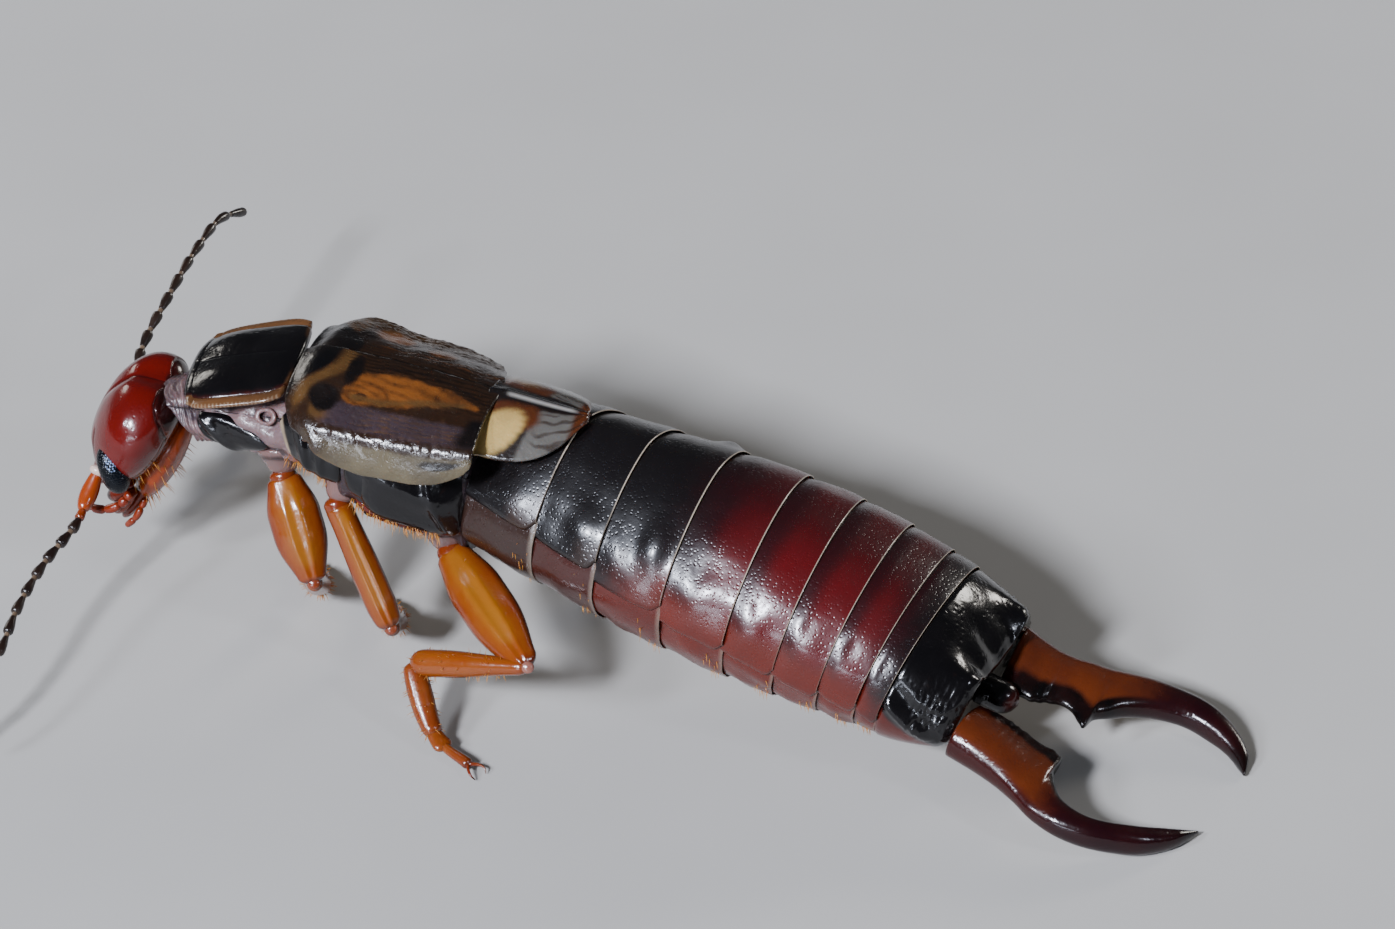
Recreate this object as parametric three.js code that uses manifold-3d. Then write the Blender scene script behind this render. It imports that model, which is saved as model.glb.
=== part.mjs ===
// A male common earwig at life size, standing with its tail on the ground.
// Millimetres. The head looks along -Y, the animal's left side is +X and the floor is Z = 0.
import * as THREE from 'three';
import { mergeVertices } from 'three/addons/utils/BufferGeometryUtils.js';
import Module from 'manifold-3d';

const DEGREE = Math.PI / 180;
const Z_AXIS = new THREE.Vector3(0, 0, 1);

// Driving dimensions
const GAP = 0.03;                       // air between two plates that lie on each other
const PLATE = 0.5;                      // thickness of wing covers and wing tips
const FLOOR_REST = 0;                   // height of every flat that touches the ground
const CENTRE_OFFSET = new THREE.Vector3(-0.485, 0.96, 0);  // puts the middle of the box over the origin

const ABDOMEN_START = new THREE.Vector3(0.02, -1.81, 2.42);   // middle of the second ring's rear edge
const RING_LENGTHS = [0.95, 1.01, 0.98, 0.8, 0.72, 0.63, 0.38];  // third to ninth ring, on the midline
const SECOND_RING_LENGTH = 1.3;
const TENTH_RING_LENGTH = 1.02;
const ABDOMEN_HALF_WIDTH = [1.57, 1.77, 1.59];    // at the front, in the middle and at the end
const ABDOMEN_BACK_HEIGHT = [1.56, 1.42, 1.1];    // midline to the top
const ABDOMEN_BELLY_HEIGHT = [0.95, 1.42, 1.17];  // midline to the underside
const ABDOMEN_YAW = [-8, 0.5, -4];
const ABDOMEN_PITCH = [-3, -11, -19];
const ABDOMEN_ROLL = 2.5;

const THORAX_REAR = new THREE.Vector3(0.1, -2.95, 4.32);  // suture end, on top of the wing covers
const THORAX_YAW = 5;
const THORAX_PITCH = -5.3;
const TEGMEN_LENGTH = 3.0;
const TEGMEN_HALF_WIDTH = 1.38;
const TEGMEN_FOLD_DROP = 0.38;
const TEGMEN_SKIRT = 0.5;
const WING_TIP_LENGTH = 1.27;
const WING_TIP_HALF_WIDTH = 0.96;
const WING_TIP_PITCH = -9;

const PRONOTUM_CENTRE = new THREE.Vector3(0.38, -6.93, 4.05);
const PRONOTUM_YAW = 11;
const PRONOTUM_PITCH = 14.5;
const PRONOTUM_LENGTH = 1.6;
const PRONOTUM_WIDTH = 2.05;
const PRONOTUM_THICKNESS = 0.36;

const OCCIPUT = new THREE.Vector3(0.45, -8.18, 3.5);  // back of the head, on the midline
const HEAD_YAW = 9;
const HEAD_PITCH = 62;
const HEAD_LENGTH = 2.0;
const HEAD_WIDTH = 2.14;
const HEAD_FACE_DEPTH = 0.7;
const HEAD_THROAT_DEPTH = 0.52;
const EYE_LENGTH = 0.7;
const EYE_WIDTH = 0.42;

const FORCEPS_BASE = new THREE.Vector3(0.3, 4.52, 1.0);
const FORCEPS_YAW = -3;
const FORCEPS_PITCH = -14.5;
const BLADE_END = 1.2;      // each arm has a broad root part, with a tooth at its end
const BLADE_HALF_WIDTH = 0.56;
const HORN_HALF_WIDTH = 0.27;
// The middle line of each arm: how far behind its root, and how far out to the side
const FORCEPS_LEFT_LINE = [
  [0, 0.9], [0.7, 1.0], [1.2, 1.17], [1.5, 1.47], [1.8, 1.72],
  [2.2, 1.8], [2.6, 1.7], [3.0, 1.49], [3.4, 1.12], [3.68, 0.75],
];
const FORCEPS_RIGHT_LINE = [
  [0, 0.82], [0.7, 0.7], [1.2, 0.82], [1.55, 1.03], [1.9, 1.27],
  [2.35, 1.45], [2.8, 1.48], [3.2, 1.38], [3.5, 1.18], [3.78, 0.78],
];

// Feelers, as points on their middle lines after the socket in the head
const FEELER_THICKNESS = 0.5;
const FEELER_LEFT_LINE = [
  [1.5, -9.2, 1.72], [2.0, -9.14, 1.62], [2.78, -9.27, 1.45], [3.69, -9.27, 1.28],
  [4.5, -9.16, 1.12], [5.5, -9.15, 0.98], [6.4, -9.35, 0.9],
];
const FEELER_RIGHT_LINE = [
  [-0.6, -9.5, 1.85], [-1.6, -9.82, 2.09], [-2.8, -9.86, 2.41],
  [-3.9, -9.93, 2.49], [-4.7, -9.96, 2.44], [-5.4, -9.88, 2.14],
];

// Legs, as the places of their joints; a thigh is a flat spindle whose broad side looks out
const SHIN_RADIUS = 0.24;
const FOOT_RADIUS = 0.2;
const LEGS = {
  front_left: {
    hip: [0.8, -6.25, 3.0],
    trochanter: [1.02, -6.17, 2.6],
    knee: [1.68, -5.45, 1.27],
    ankle: [0.62, -5.95, 0.34],
    toes: [[0.2, -6.2, 0.17], [-0.15, -6.55, 0.12]],
    thigh: { broad: 0.39, thin: 0.28 },
  },
  mid_left: {
    hip: [0.9, -5.1, 2.95],
    trochanter: [1.25, -5.2, 2.5],
    knee: [1.9, -4.13, 0.95],
    ankle: [0.95, -4.56, 0.3],
    toes: [[0.6, -4.85, 0.17], [0.25, -5.2, 0.12]],
    thigh: { broad: 0.26, thin: 0.25 },
  },
  hind_left: {
    hip: [0.7, -3.75, 2.2],
    trochanter: [0.98, -3.56, 1.86],
    knee: [2.65, -1.6, 1.49],
    ankle: [2.48, -3.55, 0.92],
    toes: [[3.14, -2.9, 0.22], [3.45, -2.24, 0.12]],
    thigh: { broad: 0.4, thin: 0.26 },
  },
  front_right: {
    hip: [-0.2, -6.4, 3.0],
    trochanter: [-0.4, -6.6, 2.6],
    knee: [-1.55, -7.1, 2.45],
    ankle: [-2.2, -8.0, 0.95],
    toes: [[-2.4, -8.35, 0.22], [-2.6, -8.85, 0.12]],
    thigh: { broad: 0.4, thin: 0.28 },
  },
  mid_right: {
    hip: [-0.35, -5.2, 2.75],
    trochanter: [-0.6, -5.3, 2.3],
    knee: [-2.3, -5.2, 2.1],
    ankle: [-3.15, -5.4, 0.8],
    toes: [[-3.5, -5.45, 0.2], [-4.15, -5.6, 0.12]],
    thigh: { broad: 0.26, thin: 0.25 },
  },
  hind_right: {
    hip: [-0.35, -3.8, 2.2],
    trochanter: [-0.6, -3.65, 1.8],
    knee: [-2.3, -2.0, 1.85],
    ankle: [-3.0, -0.5, 0.75],
    toes: [[-3.2, 0.0, 0.2], [-3.5, 0.65, 0.12]],
    thigh: { broad: 0.4, thin: 0.26 },
  },
};

const wasm = await Module();
wasm.setup();

// A closed geometry as a solid that can be cut
function toSolid(geometry) {
  return new wasm.Manifold(new wasm.Mesh({
    numProp: 3,
    vertProperties: new Float32Array(geometry.attributes.position.array),
    triVerts: new Uint32Array(geometry.index.array),
  }));
}

// The largest body of a solid, as a geometry
function toGeometry(solid) {
  const bodies = solid.decompose();
  const largest = bodies.reduce((a, b) => (a.volume() > b.volume() ? a : b));
  const mesh = largest.getMesh();
  const geometry = new THREE.BufferGeometry();
  const values = new Float32Array(mesh.numVert * 3);
  for (let i = 0; i < mesh.numVert; i += 1) {
    for (let k = 0; k < 3; k += 1) {
      values[i * 3 + k] = mesh.vertProperties[i * mesh.numProp + k];
    }
  }
  geometry.setAttribute('position', new THREE.BufferAttribute(values, 3));
  geometry.setIndex(Array.from(mesh.triVerts));
  return geometry;
}

// The volume inside a closed geometry, negative when its faces point in
function signedVolume(geometry) {
  const position = geometry.attributes.position;
  const index = geometry.index;
  const corners = [new THREE.Vector3(), new THREE.Vector3(), new THREE.Vector3()];
  let volume = 0;
  for (let i = 0; i < index.count; i += 3) {
    corners.forEach((corner, k) => corner.fromBufferAttribute(position, index.getX(i + k)));
    volume += corners[0].dot(corners[1].cross(corners[2])) / 6;
  }
  return volume;
}

// A closed base shape with each of its vertices moved to a new place
function shaped(base, place) {
  base.deleteAttribute('normal');
  base.deleteAttribute('uv');
  const geometry = mergeVertices(base, 1e-5);
  const position = geometry.attributes.position;
  const vertex = new THREE.Vector3();
  for (let i = 0; i < position.count; i += 1) {
    const moved = place(vertex.fromBufferAttribute(position, i));
    position.setXYZ(i, moved.x, moved.y, moved.z);
  }
  if (signedVolume(geometry) < 0) {
    geometry.index.array.reverse();
  }
  return geometry;
}

// A drum whose points are given by the way along it, the angle round it and the share of its radius
function drum(around, along, place) {
  return shaped(new THREE.CylinderGeometry(1, 1, 1, around, along), (v) => (
    place(0.5 - v.y, Math.atan2(v.x, v.z), Math.hypot(v.x, v.z))
  ));
}

// A copy of a geometry that is larger by a margin all round
function grown(geometry, margin) {
  const copy = geometry.clone();
  copy.computeVertexNormals();
  const position = copy.attributes.position;
  const normal = copy.attributes.normal;
  for (let i = 0; i < position.count; i += 1) {
    position.setXYZ(
      i,
      position.getX(i) + normal.getX(i) * margin,
      position.getY(i) + normal.getY(i) * margin,
      position.getZ(i) + normal.getZ(i) * margin,
    );
  }
  copy.deleteAttribute('normal');
  return copy;
}

// A geometry with room cut into it for its neighbours
function cutBy(geometry, neighbours, margin = GAP) {
  const solid = neighbours.reduce(
    (rest, neighbour) => rest.subtract(toSolid(grown(neighbour, margin))),
    toSolid(geometry),
  );
  return toGeometry(solid);
}

// The sum of several closed geometries as one body
function joined(geometries) {
  return toGeometry(geometries.map(toSolid).reduce((sum, solid) => sum.add(solid)));
}

// A value that runs through three given ones, at the start, the middle and the end
function through([start, middle, end], t) {
  const s = THREE.MathUtils.clamp(t, 0, 1);
  return start * (1 - s) * (1 - 2 * s) + 4 * middle * s * (1 - s) + end * s * (2 * s - 1);
}

function smooth(from, to, value) {
  return THREE.MathUtils.smoothstep(value, from, to);
}

function signedPower(value, power) {
  return Math.sign(value) * Math.abs(value) ** power;
}

// A place on the body's midline with its own directions: left, tailward and up
function station(centre, yaw, pitch, roll = 0) {
  const turn = new THREE.Euler(pitch * DEGREE, -roll * DEGREE, yaw * DEGREE, 'ZXY');
  return {
    centre: centre.clone(),
    left: new THREE.Vector3(1, 0, 0).applyEuler(turn),
    tail: new THREE.Vector3(0, 1, 0).applyEuler(turn),
    up: new THREE.Vector3(0, 0, 1).applyEuler(turn),
  };
}

// A point given in a station's own directions
function at(place, x, y, z) {
  return place.centre.clone()
    .addScaledVector(place.left, x)
    .addScaledVector(place.tail, y)
    .addScaledVector(place.up, z);
}

// A body outline: an oval whose back and belly have their own height and roundness
function oval(angle, halfWidth, backHeight, bellyHeight, backPower = 2, bellyPower = 2) {
  const side = Math.sin(angle);
  const rise = Math.cos(angle);
  const power = rise > 0 ? backPower : bellyPower;
  return {
    x: halfWidth * signedPower(side, 2 / power),
    z: (rise > 0 ? backHeight : bellyHeight) * signedPower(rise, 2 / power),
  };
}

// A smooth line through a few points
function line(points) {
  return new THREE.CatmullRomCurve3(points, false, 'centripetal');
}

// A long rounded piece along part of a line. It is as broad and as high as two radii say, which change
// on the way; its broad side looks to one given direction.
function limb(curve, from, to, broadAt, highAt, { around = 6, along = 6, broadSide = Z_AXIS } = {}) {
  return drum(around, along, (t, angle, share) => {
    const way = THREE.MathUtils.lerp(from, to, t);
    const forward = curve.getTangentAt(way);
    const across = new THREE.Vector3().crossVectors(forward, broadSide).normalize();
    const up = new THREE.Vector3().crossVectors(across, forward);
    return curve.getPointAt(way)
      .addScaledVector(across, Math.sin(angle) * broadAt(t) * share)
      .addScaledVector(up, Math.cos(angle) * highAt(t) * share);
  });
}

// Everything below the floor is pressed flat on it
function onFloor(geometry) {
  const position = geometry.attributes.position;
  for (let i = 0; i < position.count; i += 1) {
    position.setZ(i, Math.max(position.getZ(i), FLOOR_REST));
  }
  return geometry;
}

const earwig = new THREE.Group();
earwig.position.copy(CENTRE_OFFSET);

function finish(color, roughness, metalness = 0) {
  return new THREE.MeshStandardMaterial({ color, roughness, metalness });
}

const redHorn = finish('#8a2216', 0.3);
const blackHorn = finish('#120d0c', 0.3);
const brownHorn = finish('#6b4424', 0.35);
const maroonHorn = finish('#5c1512', 0.32);
const amberHorn = finish('#c5731d', 0.35);
const darkBead = finish('#2e1c12', 0.4);
const paleSkin = finish('#8f7672', 0.5);
const eyeBlack = finish('#10141c', 0.2);

// A named piece, with its own middle as its place
function addPiece(name, shape, material, parent = earwig) {
  const geometry = shape.clone();
  geometry.computeBoundingBox();
  const middle = geometry.boundingBox.getCenter(new THREE.Vector3());
  geometry.translate(-middle.x, -middle.y, -middle.z);
  const mesh = new THREE.Mesh(geometry, material);
  mesh.name = name;
  mesh.position.copy(middle);
  parent.add(mesh);
  return mesh;
}

// The abdomen's midline
const abdomenLength = RING_LENGTHS.reduce((sum, length) => sum + length, 0);

function abdomenStation(distance) {
  const step = 0.05;
  const steps = Math.max(1, Math.round(Math.abs(distance) / step));
  const centre = ABDOMEN_START.clone();
  let place = station(centre, ABDOMEN_YAW[0], ABDOMEN_PITCH[0], ABDOMEN_ROLL);
  for (let i = 0; i <= steps; i += 1) {
    const share = (distance * i) / steps / abdomenLength;
    place = station(centre, through(ABDOMEN_YAW, share), through(ABDOMEN_PITCH, share), ABDOMEN_ROLL);
    if (i < steps) {
      centre.addScaledVector(place.tail, distance / steps);
    }
  }
  return place;
}

// The outline of the abdomen at a distance behind the second ring, steep-sided in front and round behind
function abdomenOutline(distance, angle, swell = 1) {
  const share = distance / abdomenLength;
  const shrink = swell * (1 - 0.12 * smooth(0, 1.4, -distance));
  return oval(
    angle,
    through(ABDOMEN_HALF_WIDTH, share) * shrink,
    through(ABDOMEN_BACK_HEIGHT, share) * shrink,
    through(ABDOMEN_BELLY_HEIGHT, share) * shrink,
    THREE.MathUtils.lerp(1.62, 2.1, smooth(0, 1, share)),
    THREE.MathUtils.lerp(2, 2.15, smooth(0, 1, share)),
  );
}

const RING_SIDES = 20;

// A ring slides under the one in front of it, so its front edge is a little smaller than its rear edge
function abdomenRing(start, end) {
  return drum(RING_SIDES, 2, (t, angle, share) => {
    const distance = THREE.MathUtils.lerp(start, end - GAP, t);
    const swell = 0.975 + 0.03 * Math.sqrt(t);
    const { x, z } = abdomenOutline(distance, angle, swell);
    return at(abdomenStation(distance), x * share, 0, z * share);
  });
}

// The tenth ring is a black box with a sloping back and two swellings above the forceps
const TENTH_RING_SLOPE = { back: 0.5, belly: 0.42 };
const SWELLING_HEIGHT = 0.34;
const SWELLING_PLACE = 1.02;
const SWELLING_WIDTH = 0.38;

function tenthRing(start) {
  return drum(RING_SIDES, 4, (t, angle, share) => {
    const place = abdomenStation(start + TENTH_RING_LENGTH * t);
    const onBack = Math.cos(angle) > 0;
    const outline = abdomenOutline(abdomenLength, angle);
    const slope = 1 - (onBack ? TENTH_RING_SLOPE.back : TENTH_RING_SLOPE.belly) * t ** 1.4;
    const fromSwelling = (Math.abs(outline.x) - SWELLING_PLACE) / SWELLING_WIDTH;
    const swelling = onBack ? SWELLING_HEIGHT * t ** 2 * Math.exp(-(fromSwelling ** 2)) : 0;
    const x = outline.x * (1 - 0.1 * t ** 2);
    return at(place, x * share, 0, (outline.z * slope + swelling) * share);
  });
}

// Wing covers: a leathery plate from the suture to the fold, and a skirt that hangs from the fold
const thorax = station(THORAX_REAR, THORAX_YAW, THORAX_PITCH);

const FOLD_SHARE = 0.74;    // share of a cover's width that lies on the back, the rest hangs down
const SHOULDER_NARROWING = 0.07;
const SHOULDER_DROP = 0.16;
const COVER_LEAN = { top: 0.35, skirt: 0.2 };    // how far the thickness turns inward, in radians

function tegmen(side) {
  return shaped(new THREE.BoxGeometry(1, 1, 1, 9, 6, 1), (v) => {
    const across = v.x + 0.5;
    const along = v.y + 0.5;
    const shoulder = 1 - SHOULDER_NARROWING * (1 - smooth(0, 0.3, along)) ** 2;
    const halfWidth = TEGMEN_HALF_WIDTH * shoulder * (1 - 0.05 * smooth(0.7, 1, along));
    const onTop = Math.min(across / FOLD_SHARE, 1);
    const downSkirt = Math.max(across - FOLD_SHARE, 0) / (1 - FOLD_SHARE);
    const skirt = TEGMEN_SKIRT * (0.45 + 0.55 * Math.sin(Math.PI * smooth(0.02, 1.25, along)));
    const drop = TEGMEN_FOLD_DROP * onTop ** 1.8 + skirt * downSkirt;
    const frontDrop = SHOULDER_DROP * (1 - smooth(0, 0.16, along)) ** 2;
    const depth = (0.5 - v.z) * PLATE;
    const lean = COVER_LEAN.top * onTop + COVER_LEAN.skirt * downSkirt;
    const rearSlant = -0.12 * onTop - 0.1 * downSkirt;
    const x = halfWidth * onTop + 0.13 * Math.sin(Math.PI * 0.5 * downSkirt) - depth * Math.sin(lean);
    const y = TEGMEN_LENGTH * (along - 1) + rearSlant * along ** 6;
    const z = -drop - frontDrop - depth * Math.cos(lean);
    return at(thorax, side * (GAP / 2 + Math.max(x, 0)), y, z);
  });
}

// Folded hind wings: their leathery tips stick out behind the covers as two pointed ovals
const WING_TIP_DROP = 0.45;

function wingTip(side) {
  const place = station(THORAX_REAR, THORAX_YAW, WING_TIP_PITCH);
  return shaped(new THREE.BoxGeometry(1, 1, 1, 5, 5, 1), (v) => {
    const across = v.x + 0.5;
    const along = v.y + 0.5;
    const width = WING_TIP_HALF_WIDTH * Math.sqrt(Math.max(1 - along ** 2.6, 0.015));
    const depth = (0.5 - v.z) * PLATE;
    const outward = (width * across) / WING_TIP_HALF_WIDTH;
    const lean = 0.8 * outward ** 2;
    const x = Math.max(width * across - depth * Math.sin(lean), 0);
    const z = -0.05 - WING_TIP_DROP * outward ** 1.7 - depth * Math.cos(lean);
    return at(place, side * (GAP / 2 + x), 0.02 + WING_TIP_LENGTH * along, z);
  });
}

// The pronotum is a square shield with rounded corners and flat side margins
const pronotumPlace = station(PRONOTUM_CENTRE, PRONOTUM_YAW, PRONOTUM_PITCH);

const PRONOTUM_RISE = 0.16;
const PRONOTUM_MARGIN_CURL = 0.08;

function pronotum() {
  return shaped(new THREE.BoxGeometry(1, 1, 1, 8, 6, 1), (v) => {
    const across = v.x * 2;
    const along = v.y * 2;
    const corner = 0.93 + 0.07 * Math.cos(across * Math.PI * 0.5);
    const sides = (1 + 0.03 * (1 - along ** 2)) * (1 - 0.1 * Math.abs(along) ** 5);
    const halfWidth = (PRONOTUM_WIDTH / 2) * (0.965 + 0.035 * along) * sides;
    const halfLength = (PRONOTUM_LENGTH / 2) * corner;
    const rise = PRONOTUM_RISE * (1 - Math.abs(across) ** 2.4) * (1 - 0.5 * along ** 4);
    const curl = PRONOTUM_MARGIN_CURL * across ** 8;
    const depth = (0.5 - v.z) * PRONOTUM_THICKNESS;
    return at(pronotumPlace, across * halfWidth, along * halfLength, rise + curl - 0.2 - depth);
  });
}

// The body between two places on the midline, as wide and deep as its two ends say
function trunk(first, last, { around = 12, along = 2, belly = 0 } = {}) {
  return drum(around, along, (t, angle, share) => {
    const centre = first.place.centre.clone().lerp(last.place.centre, t);
    const left = first.place.left.clone().lerp(last.place.left, t);
    const up = first.place.up.clone().lerp(last.place.up, t);
    const bulge = 1 + belly * Math.sin(Math.PI * t) * (Math.cos(angle) < 0 ? 1 : 0);
    const { x, z } = oval(
      angle,
      THREE.MathUtils.lerp(first.halfWidth, last.halfWidth, t),
      THREE.MathUtils.lerp(first.back, last.back, t),
      THREE.MathUtils.lerp(first.belly, last.belly, t) * bulge,
      2.2,
      2.2,
    );
    return centre.addScaledVector(left, x * share).addScaledVector(up, z * share);
  });
}

const tegmenLeft = tegmen(1);
const tegmenRight = tegmen(-1);
const wingTipLeft = wingTip(1);
const wingTipRight = wingTip(-1);
const pronotumShape = pronotum();

// The trunk under the wing covers, from the neck to the first ring of the abdomen
const underPronotum = station(at(pronotumPlace, 0, -0.72, -0.72), 11, 18);
const foreThorax = station(at(thorax, 0, -2.75, -1.28), 6, -2);
const midThorax = station(at(thorax, 0, -1.45, -1.6), 3, -9);
const hindThorax = station(at(abdomenStation(-SECOND_RING_LENGTH), 0, -GAP, 0), -6, -3);
const beforePlace = (place) => ({ ...place, centre: at(place, 0, -GAP, 0) });
const wingCovers = [tegmenLeft, tegmenRight];
const wingTips = [wingTipLeft, wingTipRight];

const metathoraxShape = cutBy(
  trunk(
    { place: midThorax, halfWidth: 1.3, back: 1.6, belly: 0.74 },
    { place: hindThorax, halfWidth: 1.36, back: 1.4, belly: 0.84 },
    { belly: 0.06 },
  ),
  [...wingCovers, ...wingTips],
);
const mesothoraxShape = cutBy(
  trunk(
    { place: foreThorax, halfWidth: 1.0, back: 1.1, belly: 0.6 },
    { place: beforePlace(midThorax), halfWidth: 1.28, back: 1.6, belly: 0.74 },
    { belly: 0.05 },
  ),
  [...wingCovers, pronotumShape],
);
const prothoraxShape = cutBy(
  trunk(
    { place: underPronotum, halfWidth: 0.62, back: 0.62, belly: 0.5 },
    { place: beforePlace(foreThorax), halfWidth: 0.92, back: 0.9, belly: 0.56 },
    { along: 3, belly: 0.05 },
  ),
  [pronotumShape, ...wingCovers],
);

// The head hangs down from the neck: two swollen lobes with a groove between, and a narrower face
const HEAD_GROOVE = 0.1;
const HEAD_NOTCH = 0.16;
const headPlace = station(OCCIPUT, HEAD_YAW, HEAD_PITCH);

function headPoint(x, fromOcciput, height) {
  return at(headPlace, x, -fromOcciput, height);
}

const headShape = shaped(new THREE.SphereGeometry(1, 18, 13), (v) => {
  const along = v.y;
  const onFace = v.z > 0;
  const wide = 1 + 0.06 * along - 0.1 * along ** 2;
  const square = 1 + 0.12 * along ** 2;
  const groove = onFace ? HEAD_GROOVE * Math.exp(-((v.x / 0.16) ** 2)) * smooth(-0.2, 0.9, along) : 0;
  const notch = HEAD_NOTCH * Math.exp(-((v.x / 0.3) ** 2)) * smooth(0.6, 1, along);
  return headPoint(
    v.x * (HEAD_WIDTH / 2) * wide * square,
    HEAD_LENGTH * (0.5 - 0.5 * along) + notch,
    v.z * (onFace ? HEAD_FACE_DEPTH : HEAD_THROAT_DEPTH) * square - groove,
  );
});

// Each eye is a long oval on the side of the head, low on the face
const EYE_BULGE = 0.24;

function eye(side) {
  const { left, tail, up } = headPlace;
  const centre = headPoint(side * 0.84, 1.3, 0.2);
  const outward = left.clone().multiplyScalar(side).addScaledVector(up, 0.42).normalize();
  const longWay = up.clone().multiplyScalar(-0.62)
    .addScaledVector(tail, -0.5)
    .addScaledVector(left, side * 0.2);
  longWay.addScaledVector(outward, -longWay.dot(outward)).normalize();
  const shortWay = new THREE.Vector3().crossVectors(outward, longWay);
  return shaped(new THREE.SphereGeometry(1, 10, 8), (v) => centre.clone()
    .addScaledVector(longWay, (v.y * EYE_LENGTH) / 2)
    .addScaledVector(shortWay, (v.x * EYE_WIDTH) / 2)
    .addScaledVector(outward, v.z * EYE_BULGE));
}

const eyeShapes = { left: eye(1), right: eye(-1) };

addPiece('head', cutBy(headShape, [eyeShapes.left, eyeShapes.right]), redHorn);
addPiece('eye_left', eyeShapes.left, eyeBlack);
addPiece('eye_right', eyeShapes.right, eyeBlack);

addPiece('pronotum', pronotumShape, blackHorn);
addPiece('prothorax', prothoraxShape, blackHorn);
addPiece('mesothorax', mesothoraxShape, blackHorn);
addPiece('metathorax', metathoraxShape, blackHorn);
addPiece('tegmen_left', tegmenLeft, brownHorn);
addPiece('tegmen_right', tegmenRight, brownHorn);
addPiece('wing_tip_left', wingTipLeft, brownHorn);
addPiece('wing_tip_right', wingTipRight, brownHorn);

// Rings two to nine, each a little behind the last
const secondRingShape = cutBy(abdomenRing(-SECOND_RING_LENGTH, 0), [...wingTips, ...wingCovers]);
addPiece('abdomen_02', secondRingShape, blackHorn);
let ringStart = 0;
RING_LENGTHS.forEach((length, i) => {
  const ring = abdomenRing(ringStart, ringStart + length);
  addPiece(`abdomen_0${i + 3}`, i === 0 ? cutBy(ring, wingTips) : ring, i < 2 ? blackHorn : maroonHorn);
  ringStart += length;
});

const tenthRingShape = tenthRing(abdomenLength + GAP / 2);
addPiece('abdomen_10', tenthRingShape, blackHorn);

// The forceps lie in a plane of their own, behind the tenth ring, with a small plate between their roots
const forcepsPlace = station(FORCEPS_BASE, FORCEPS_YAW, FORCEPS_PITCH);

function cercusHalfWidth(distance, length) {
  const narrowing = smooth(BLADE_END, BLADE_END + 0.45, distance);
  const pointed = 1 - 0.82 * smooth(length * 0.62, length * 1.02, distance);
  return THREE.MathUtils.lerp(BLADE_HALF_WIDTH, HORN_HALF_WIDTH * pointed, narrowing);
}

function cercus(side, middleLine) {
  const curve = line(middleLine.map(([behind, sideways]) => at(forcepsPlace, side * sideways, behind, 0)));
  const length = curve.getLength();
  const halfWidth = (t) => cercusHalfWidth(t * length, length);
  const halfHeight = (t) => 0.34 - 0.1 * smooth(0, 0.4, t) - 0.13 * smooth(0.72, 1, t);
  const arm = limb(curve, 0, 1, halfWidth, halfHeight, { around: 8, along: 15, broadSide: forcepsPlace.up });
  const toothRoot = curve.getPointAt((BLADE_END - 0.05) / length);
  const tooth = shaped(new THREE.ConeGeometry(0.2, 0.5, 6), (v) => toothRoot.clone()
    .addScaledVector(forcepsPlace.left, side * (-0.38 - v.y))
    .addScaledVector(forcepsPlace.tail, v.x + 0.16 * v.y)
    .addScaledVector(forcepsPlace.up, v.z * 0.8));
  return cutBy(onFloor(joined([arm, tooth])), [tenthRingShape]);
}

const pygidiumShape = cutBy(
  shaped(new THREE.SphereGeometry(1, 8, 6), (v) => (
    at(forcepsPlace, v.x * 0.27, 0.16 + v.y * 0.34, v.z * 0.26)
  )),
  [tenthRingShape],
);
addPiece('pygidium', pygidiumShape, blackHorn);
addPiece('forceps_left', cutBy(cercus(1, FORCEPS_LEFT_LINE), [pygidiumShape]), maroonHorn);
addPiece('forceps_right', cutBy(cercus(-1, FORCEPS_RIGHT_LINE), [pygidiumShape]), maroonHorn);

// Feelers: an orange first link, then a string of dark beads that is held out sideways
const SCAPE_LENGTH = 0.72;

function feeler(side, points) {
  const socket = headPoint(side === 'left' ? 0.56 : -0.56, 1.72, 0.26);
  const curve = line([socket, ...points.map((point) => new THREE.Vector3(...point))]);
  const length = curve.getLength();
  const scapeEnd = SCAPE_LENGTH / length;
  const middle = 0.5;
  const apart = GAP / 2 / length;
  const radius = FEELER_THICKNESS / 2;
  const scapeRadius = (t) => radius * (0.8 + 0.24 * Math.sin(Math.PI * t));
  const midRadius = (t) => radius * (0.88 + 0.12 * t);
  const tipRadius = (t) => radius * (1 - 0.16 * t);
  const scape = limb(curve, 0, scapeEnd - apart, scapeRadius, scapeRadius, { around: 8, along: 4 });
  addPiece(`antenna_${side}_scape`, cutBy(scape, [headShape, eyeShapes[side]]), amberHorn);
  addPiece(
    `antenna_${side}_mid`,
    limb(curve, scapeEnd + apart, middle - apart, midRadius, midRadius, { along: 5 }),
    darkBead,
  );
  addPiece(
    `antenna_${side}_tip`,
    limb(curve, middle + apart, 1, tipRadius, tipRadius, { along: 6 }),
    darkBead,
  );
}

feeler('left', FEELER_LEFT_LINE);
feeler('right', FEELER_RIGHT_LINE);

// Mouth: an upper lip in front, two jaws, a feeler beside each, and behind them the lower lip.
// The lip's plate runs back under the head, and two blunt lobes hang from its front end.
const labrumShape = cutBy(
  shaped(new THREE.SphereGeometry(1, 9, 6), (v) => (
    headPoint(v.x * 0.42, 2.02 - v.y * 0.36, 0.16 + v.z * 0.2)
  )),
  [headShape],
);
addPiece('labrum', labrumShape, redHorn);

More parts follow.
